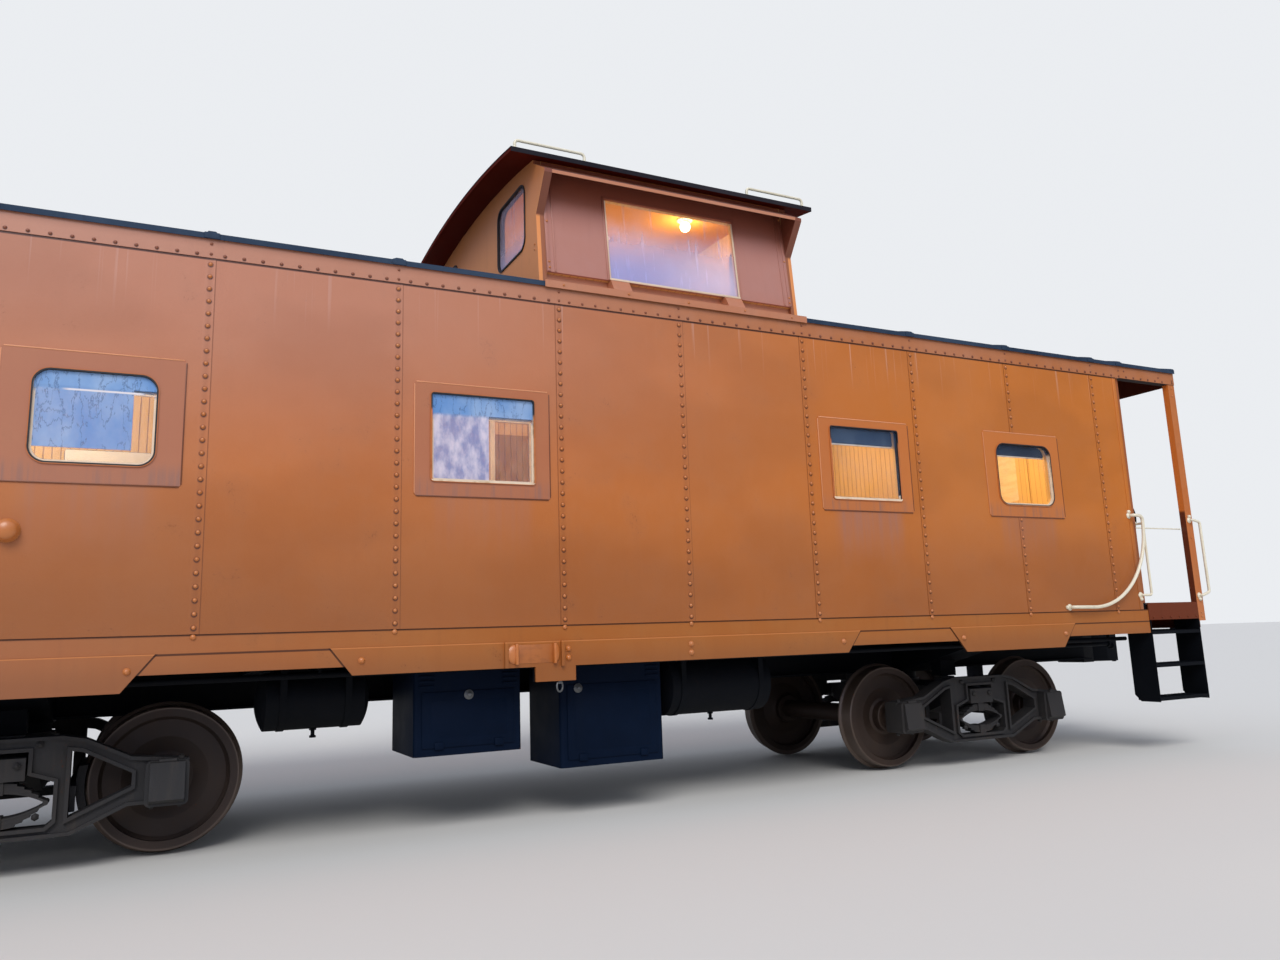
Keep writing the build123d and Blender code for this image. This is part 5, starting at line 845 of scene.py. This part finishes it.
# End walls and doors: flat steel sheet riveted to the posts round a doorway, painted as
# the sides but duller. Each door has a lever handle, a kick plate and a linen blind.
END_OUT = 5.374
end_paint = Finish("end_paint", (160, 88, 42), (162, 98, 58), 0.5, 0.45, 0.25, DULL_GRIME)
wood, _ = end_paint.boarding(end_paint.y, CORNICE_Z)
doorway = end_paint.y.near(0, 0.4, 0.01) * end_paint.z.rise(1.3, 1.31)
room_edge = 5.308 + doorway * 0.035
end_paint.tint(wood, (abs(end_paint.x) - room_edge).fall(0, 0.001))
end_paint.set(0.005, Coat_Weight=0.2, Coat_Roughness=0.32)
end_paint.paint("end_wall_front", "end_wall_rear", "door_front", "door_rear")

post = Finish("post_paint", (190, 106, 46), (190, 118, 68), 0.45, 0.45, 0.3, DULL_GRIME)
# Inner faces of the posts: dark below as painted shade, bright orange above as painted light.
inner_face_light_and_shade = post.blend((104, 48, 26), (228, 124, 52), post.z.rise(2.2, 2.24))
post.tint(inner_face_light_and_shade, abs(post.y).fall(1.522, 1.524))
post.set(0.004, Coat_Weight=0.3, Coat_Roughness=0.28).paint("end_posts")

columns = [(y, 1.4 + k * RIVET_PITCH) for y in (-1.45, -0.47, 0.47, 1.45) for k in range(27)]
post_rivets = [(end * 6.142, z) for end in ENDS for z in (1.2, 1.24, 1.96, 3.38, 3.46)]
places = on_ends(END_OUT, columns) + on_sides(WALL_OUT, post_rivets)
set_out("end_rivets", rivet(0.011, 0.007), places, rivet_paint)

linen = Finish("blind_linen")
weave = linen.noise(420, 2, (1, 1, 3)) * 0.5 + linen.noise(60, 3) * 0.5
fold = linen.noise(3, 3, (1, 1, 6)).rise(0.4, 0.7)
linen.tone = linen.blend((240, 214, 172), (214, 182, 132), weave * 0.5 + fold * 0.4)
linen.gloss, linen.height = 0.75 + weave * 0.2, weave
linen.set(0.001)
DOOR_OUT, KNOB_Y, KNOB_Z = 5.349, 0.325, 2.34
for name, end in (("front", 1), ("rear", -1)):
    face, knob_y, door = end * DOOR_OUT, end * -KNOB_Y, f"end_door_{name}"
    rose = boss(24, (0.03, 0.003), (0.028, 0.006), (0.011, 0.007), (0.011, 0.03), (0.011, 0.045))
    rose = repeated(rose, [standing((face, knob_y, KNOB_Z), (end, 0, 0))])
    low = (face + end * 0.034, knob_y - 0.011, 2.33)
    lever = plate(low, (face + end * 0.046, knob_y + end * 0.11, 2.35), 0.004)
    high = (face + end * 0.003, knob_y + 0.03, 2.4)
    shield = plate((face, knob_y - 0.03, 2.24), high, 0.001)
    finished(f"door_handle_{name}", [rose, lever, shield], grey, door)
    kick = [plate((face, -0.34, 1.375), (face + end * 0.003, 0.34, 1.5), 0.001)]
    for y0, y1, z0, z1 in (
        (-0.245, 0.245, 2.465, 2.48),
        (-0.245, 0.245, 3.1, 3.115),
        (-0.245, -0.23, 2.465, 3.115),
        (0.23, 0.245, 2.465, 3.115),
    ):
        kick.append(plate((face, y0, z0), (face + end * 0.008, y1, z1), 0.003))
    finished(f"door_trim_{name}", kick, end_paint, door)
    blind = plate((end * 5.3115, -0.236, 2.478), (end * 5.3095, 0.236, 3.102), 0.0006)
    finished(f"door_blind_{name}", [blind], linen, door)

# Platforms, steps and underframe: rolled steel, riveted together, under dusty black
# paint. The decks are red brown, and the step treads have cleats welded on.
# Both blacks are darker than the paint alone: painted shade under the car.
coat = ((9, 11, 15), (17, 20, 26), 0.4, 0.65, 0.3, (30, 28, 26), (40, 24, 18))
black = Finish("dusty_black_and_shade", *coat).set(0.004, Specular_IOR_Level=0.08)
black.paint("centre_sill", "cross_bearers", "body_bolsters", "step_sides", "step_treads")
black.paint("brake_wheels", "air_tanks", "couplers", "floor")
coat = ((5, 16, 34), (9, 24, 46), 0.35, 0.55, 0.25, (18, 26, 36), (34, 24, 22))
box_paint_and_shade = Finish("box_paint_and_shade", *coat).set(0.004, Specular_IOR_Level=0.06)
box_paint_and_shade.paint("equipment_boxes")
deck = Finish("deck_paint", (104, 44, 22), (108, 56, 34), 0.6, 0.55, 0.3, (58, 36, 26))
below_deck = deck.z.fall(1.177, 1.181) * deck.x.near(0, 6.0)
deck.tint((16, 16, 18), below_deck.at_least(deck.z.fall(1.1, 1.11)))
deck.set(0.004, Specular_IOR_Level=0.15).paint("platform_front", "platform_rear")

row = [(end * (5.43 + k * 0.125), 1.205) for end in ENDS for k in range(6)]
beam = [(side * y, z) for side in SIDES for y in (0.3, 0.7, 1.0, 1.3) for z in (1.13, 1.29)]
places = on_sides(WALL_OUT, row) + on_ends(BEAM_OUT, beam)
set_out("platform_rivets", rivet(0.011, 0.007), places, deck)
places = [
    Matrix.Translation((end * (5.443 + k * 0.05), side * 1.41, z))
    for end in ENDS
    for side in SIDES
    for z in (0.48, 0.78, 1.08)
    for k in range(13)
]
cleat = plate((-0.006, -0.1, 0), (0.006, 0.1, 0.005), 0.0015)
set_out("tread_cleats", cleat, places, black)

# Box doors: a pressed steel lid on the outer face of each box, held by strap hinges and
# a turn latch, with louvres beside it, all in the blue black of the box.
BOX_FACE = -1.231
box_parts = []
for left, right, low, top in ((-0.407, 0.38, 0.33, 1.008), (-1.407, -0.687, 0.48, 1.008)):
    lid = (right - 0.05, BOX_FACE - 0.008, top - 0.13)
    lid = plate((left + 0.05, BOX_FACE, low + 0.05), lid, 0.003)
    bpy.context.view_layer.objects.active = lid
    bpy.ops.object.mode_set(mode="EDIT")
    pick(lid, lambda f: f.normal.y < -0.9 and f.calc_area() > 0.05)
    bpy.ops.mesh.inset(thickness=0.05)
    bpy.ops.mesh.inset(thickness=0.008, depth=0.005)
    box_parts.append(ended(lid))
    for x in (left + 0.03, right - 0.13):
        for z in (top - 0.1, top - 0.068, top - 0.036):
            louvre = (x + 0.1, BOX_FACE - 0.01, z + 0.014)
            box_parts.append(plate((x, BOX_FACE, z), louvre, 0.004))
    for x in (left + 0.13, right - 0.19):
        strap = (x + 0.06, BOX_FACE - 0.016, low + 0.085)
        box_parts.append(plate((x, BOX_FACE - 0.006, low + 0.04), strap, 0.003))
finished("box_doors", box_parts, box_paint_and_shade)
latch = boss(24, (0.032, 0.004), (0.03, 0.007), (0.014, 0.009), (0.013, 0.022), (0.009, 0.026))
places = [standing((x, BOX_FACE - 0.008, 0.853), (0, -1, 0)) for x in (-0.277, -1.05)]
set_out("box_latches", latch, places, grey)


def rod(points, radius, bend=0.06):
    """A round bar along the points, with its corners bent, as a mesh."""
    points = [Vector(point) for point in points]
    line = [points[0]]
    for before, corner, after in zip(points, points[1:], points[2:]):
        reach = min(bend, (before - corner).length / 2, (after - corner).length / 2)
        back = (before - corner).normalized() * reach
        onward = (after - corner).normalized() * reach
        line += [corner + back * (1 - k / 6) ** 2 + onward * (k / 6) ** 2 for k in range(7)]
    line.append(points[-1])
    curve = bpy.data.curves.new("rod", "CURVE")
    curve.dimensions = "3D"
    curve.bevel_depth = radius
    curve.bevel_resolution = 3
    curve.use_fill_caps = True
    spline = curve.splines.new("POLY")
    spline.points.add(len(line) - 1)
    for point, place in zip(spline.points, line):
        point.co = (*place, 1)
    bar = bpy.data.objects.new("rod", curve)
    studio.collection.objects.link(bar)
    bpy.ops.object.select_all(action="DESELECT")
    bar.select_set(True)
    bpy.context.view_layer.objects.active = bar
    bpy.ops.object.convert(target="MESH")
    bpy.ops.object.shade_smooth_by_angle(angle=math.radians(50))
    return bpy.context.object


# Brake piping: iron pipe, bent and screwed together. The main runs along the car beside
# the sill, with branches to the tanks, and ends in an angle cock by each coupler.
pipes = [
    rod(((-5.3, -1.3, 1.02), (-2.5, -1.3, 1.02), (2.6, -1.3, 1.02), (5.3, -1.3, 1.02)), 0.019),
    rod(((0.91, -1.0, 1.03), (0.91, -1.0, 1.1), (0.91, -1.3, 1.1), (0.91, -1.3, 1.02)), 0.013),
    rod(((-2.0, -1.02, 1.03), (-2.0, -1.02, 1.09), (-2.0, -1.3, 1.09), (-2.0, -1.3, 1.02)), 0.013),
    rod(((-2.1, 0.9, 0.86), (-2.2, 0.9, 0.86), (-2.3, 0.6, 0.95), (-2.3, 0.175, 0.95)), 0.014),
]
for end in ENDS:
    y = end * -0.42
    pipes.append(rod(((end * 5.3, y, 1.0), (end * 5.3, y, 0.95), (end * BEAM_OUT, y, 0.95)), 0.019))
    cock = boss(18, (0.03, 0.01), (0.024, 0.012), (0.024, 0.05), (0.034, 0.052), (0.034, 0.075))
    pipes.append(repeated(cock, [standing((end * 6.17, y, 0.95), (end, 0, -0.35))]))
    low, high = (end * BEAM_OUT, y - 0.016, 0.972), (end * 6.205, y + 0.016, 1.05)
    pipes.append(plate(low, high, 0.004))
drain = boss(14, (0.022, 0.01), (0.012, 0.012), (0.012, 0.04), (0.02, 0.042), (0.02, 0.055))
drains = ((0.91, -1.0, 0.607), (-1.99, -1.02, 0.69), (1.2, 1.0, 0.625))
pipes.append(repeated(drain, [standing(place, (0, 0, -1)) for place in drains]))
finished("brake_piping", pipes, black)

# Coupler lift levers: a bent steel bar across each end, turning in two eyes welded to
# the end beam, its crank over the coupler pin.
LEVER = ((6.235, -1.33, 0.9), (6.235, -1.33, 1.08), (6.235, -0.3, 1.08))
CRANK = ((6.34, -0.16, 1.08), (6.42, -0.1, 1.06))
levers = []
for end in ENDS:
    line = [(end * x, end * y, z) for x, y, z in LEVER + CRANK]
    levers.append(rod(line, 0.011, 0.05))
    for y in (end * -1.15, end * -0.45):
        low, high = (end * 6.188, y - 0.012, 1.05), (end * 6.25, y + 0.012, 1.11)
        levers.append(plate(low, high, 0.005))
finished("coupler_levers", levers, black)

# Hand brake housings: a round cast ratchet case on each stand, its cover held by six
# screws, with a bent release lever, and the chain rod running down to the deck.
HUB_Z, SCREW_CIRCLE = 2.24, 0.125
cases = []
for end in ENDS:
    hub_y = end * -0.62
    case = boss(40, (0.15, 0.012), (0.15, 0.05), (0.138, 0.06), (0.06, 0.064), (0.055, 0.07))
    cases.append(repeated(case, [standing((end * 6.118, hub_y, HUB_Z), (end, 0, 0))]))
    places = []
    for turn in (math.radians(60 * k + 30) for k in range(6)):
        y, z = hub_y + SCREW_CIRCLE * math.cos(turn), HUB_Z + SCREW_CIRCLE * math.sin(turn)
        places.append(standing((end * 6.166, y, z), (end, 0, 0)))
    cases.append(repeated(boss(6, (0.012, 0.006), (0.011, 0.008)), places))
    release = ((6.15, hub_y + 0.1, 2.33), (6.2, hub_y + 0.12, 2.4), (6.2, hub_y + 0.2, 2.46))
    cases.append(rod([(end * x, y, z) for x, y, z in release], 0.008, 0.03))
    down = [(end * 6.13, hub_y - 0.04, z) for z in (2.12, 1.34)]
    cases.append(rod(down, 0.011))
finished("brake_housings", cases, black)

# Handrails, grab irons and ladders: round steel bar, bent and painted cream, its feet
# bolted to the walls and the roof through round flanges.
cream = Finish("cream_paint", (234, 228, 208), (214, 204, 176), 0.5, grime=(150, 130, 104))
cream.set(0.002, Coat_Weight=0.2).paint("grab_irons", "end_railings", "ladders")
GRAB_FEET = ((4.324, 1.315), (5.255, 2.152), (5.285, 1.411), (6.14, 2.13), (6.14, 1.4))
GRAB_BOLTS = ((4.29, 1.315), (5.255, 2.188), (5.285, 1.376), (6.14, 2.165), (6.14, 1.366))
RAIL_Y = 1.387
rail_z = CUPOLA_TOP + math.sqrt(CUPOLA_R**2 - RAIL_Y**2) - CUPOLA_R
places = on_sides(WALL_OUT, [(end * x, z) for end in ENDS for x, z in GRAB_FEET])
places += on_ends(END_OUT, [(-1.48, 2.08), (1.48, 2.08)])
for x in (-1.272, -0.722, 0.722, 1.272):
    places += [standing((CUPOLA_X + x, side * RAIL_Y, rail_z), (0, 0, 1)) for side in SIDES]
flange = boss(20, (0.029, 0.004), (0.026, 0.008), (0.02, 0.009), (0.018, 0.016))
set_out("grab_iron_flanges", flange, places, cream)
knob = boss(16, (0.017, 0.004), (0.017, 0.012), (0.012, 0.02), (0.003, 0.023))
places = on_sides(WALL_OUT, [(end * x, z) for end in ENDS for x, z in GRAB_BOLTS])
set_out("grab_iron_bolts", knob, places, cream)

# Rooms: boarded partitions with a door in each, cream cornices and posts, rolled-down
# blinds behind the side windows, and the lamps.
lining = Finish("room_lining")
lining.tone, groove = lining.boarding(lining.y, CORNICE_Z)
lining.gloss, lining.height = 0.45 + groove * 0.2, groove * -1.0
lining.set(0.004).paint("partitions")
strip = (1.433, 1.456, CORNICE_Z - 0.012, CORNICE_Z + 0.014)
trims = [(a, b, *strip) for a, b in ((-5.3, -2.475), (-2.425, 3.075), (3.125, 5.3))]
trims += [(x - 0.025, x + 0.025, 1.433, 1.457, 1.35, CORNICE_Z - 0.01) for x in (0.022, 0.428)]
trims = side_plates(trims, 0.004)
for x, face in ((-2.47, -1), (-2.43, 1), (3.08, -1), (3.12, 1), (5.304, -1), (-5.304, 1)):
    low, high = (x, -1.43, CORNICE_Z - 0.012), (x + face * 0.018, 1.43, CORNICE_Z + 0.014)
    trims.append(plate(low, high, 0.004))
cornice = Finish("cornice_paint")
aged = cornice.noise(9, 4).rise(0.4, 0.8)
cornice.tone = cornice.blend((238, 226, 214), (206, 190, 170), aged)
cornice.gloss, cornice.height = 0.4 + cornice.noise(30, 3) * 0.2, cornice.noise(60, 3)
finished("room_cornices", trims, cornice.set(0.001))
leaves = [plate((x - 0.015, -0.35, 1.345), (x + 0.015, 0.35, 3.285), 0.004) for x in (-2.45, 3.1)]
finished("room_doors", leaves, lining)

cloth = Finish("blind_cloth")
weave = cloth.noise(300, 2, (1, 1, 3)) * 0.6 + cloth.noise(12, 4) * 0.4
cloth.tone = cloth.blend((18, 25, 40), (46, 56, 76), weave)
cloth.tint((232, 216, 190), abs(cloth.y).fall(1.414, 1.418))
cloth.gloss, cloth.height = 0.7 + weave * 0.2, weave
widths = [(x - wide / 2, x + wide / 2) for (x, *_), wide in zip(PANES, (0.66, 0.74, 0.73, 0.71))]
blinds = side_plates([(*along, 1.45, 1.41, 2.662, 2.84) for along in widths], 0.015)
finished("window_blinds", blinds, cloth.set(0.001))
hems = side_plates([(*along, 1.446, 1.43, 2.652, 2.664) for along in widths], 0.004)
finished("blind_hems", hems, cornice)

opal = Finish("opal_glass")
opal.tone = opal.blend((255, 240, 200), (255, 220, 150), opal.noise(20, 3))
opal.gloss = 0.3 + opal.noise(30, 2) * 0.1
lit = opal.blend(opal.tone, (10, 8, 6), opal.z.rise(4.1, 4.2))
opal.set(Emission_Color=lit, Emission_Strength=3.0).paint("lamps")
LAMP_X, LAMP_Y = 1.05, -0.72
base = boss(32, (0.07, 0.006), (0.066, 0.012), (0.03, 0.014), (0.028, 0.03))
places = [standing((LAMP_X, LAMP_Y, 4.722), (0, 0, -1))]
set_out("cupola_lamp_base", base, places, cornice)
where = {"radius": 0.045, "location": (LAMP_X, LAMP_Y, 4.66)}
bulb = ended(started(sphere, segments=24, ring_count=16, **where), 80)
glowing = Finish("lit_bulb")
glowing.tone = glowing.blend((255, 236, 190), (255, 214, 140), glowing.noise(25, 3))
glowing.gloss = 0.3 + glowing.noise(30, 2) * 0.1
glowing.set(Emission_Color=glowing.tone, Emission_Strength=12.0)
finished("cupola_bulb", [bulb], glowing)
for x, y, z, power in (
    (-3.9, 0, 3.2, 120),
    (-1.0, 0, 3.2, 60),
    (2.0, -0.6, 2.9, 48),
    (4.1, -0.5, 2.9, 75),
    (LAMP_X, LAMP_Y, 4.58, 11),
    (0.2, 0.2, 4.3, 9),
):
    glow = bpy.data.lights.new("room_lamp", "POINT")
    glow.energy, glow.shadow_soft_size = power, 0.12
    glow.color = (1.0, 0.76, 0.44) if x > -2.45 else (1.0, 0.9, 0.74)
    bulb = bpy.data.objects.new("room_lamp", glow)
    bulb.location = (x, y, z)
    bulb.visible_camera = bulb.visible_glossy = bulb.visible_transmission = False
    studio.collection.objects.link(bulb)

# Trucks and wheelsets: cast steel frames and bolsters on leaf springs, bolted together
# and dusty, with rolled steel wheels whose treads are rubbed bright.
AXLE_REACH = 0.838
iron = Finish("cast_iron", (28, 27, 28), (44, 40, 38), 0.7, 0.7, grime=(74, 64, 54))
iron.height = iron.height + iron.noise(220, 3) * 0.2
iron.set(0.004)
wheel = Finish("wheel_steel", (48, 36, 30), (64, 48, 38), 0.7, 0.6, grime=(40, 36, 34))
along = abs(abs(abs(wheel.x) - TRUCK_X) - AXLE_REACH)
up = wheel.z - 0.444
tread = (along * along + up * up).root().rise(0.398, 0.41)
wheel.tint((120, 104, 94), tread * (1 - wheel.height) * 0.5)
wheel.gloss = wheel.gloss - tread * 0.2
wheel.set(0.003, Metallic=0.35).paint(*(f"wheelset_{k}" for k in (1, 2, 3, 4)))
for name, end in (("front", 1), ("rear", -1)):
    places = []
    for hand in (-1, 1):
        axle, middle = end * TRUCK_X + hand * AXLE_REACH, end * TRUCK_X
        for side in SIDES:
            for x in (axle - 0.075, axle + 0.075):
                places.append(standing((x, side * 1.03, 0.574), (0, 0, 1)))
                places.append(standing((x, side * 1.0, 0.322), (0, 0, -1)))
        places += on_sides(1.031, [(middle + hand * 0.19, z) for z in (0.32, 0.705)])
        places += on_sides(1.07, [(middle + hand * 0.09, 0.6)])
    bolt = boss(6, (0.021, 0.012), (0.019, 0.015), (0.012, 0.016), (0.011, 0.024))
    set_out(f"truck_bolts_{name}", bolt, places, iron, f"truck_{name}")
    for node in ("truck_frames", "truck_bolster", "truck_springs", "brake_gear"):
        iron.paint(f"{node}_{name}")
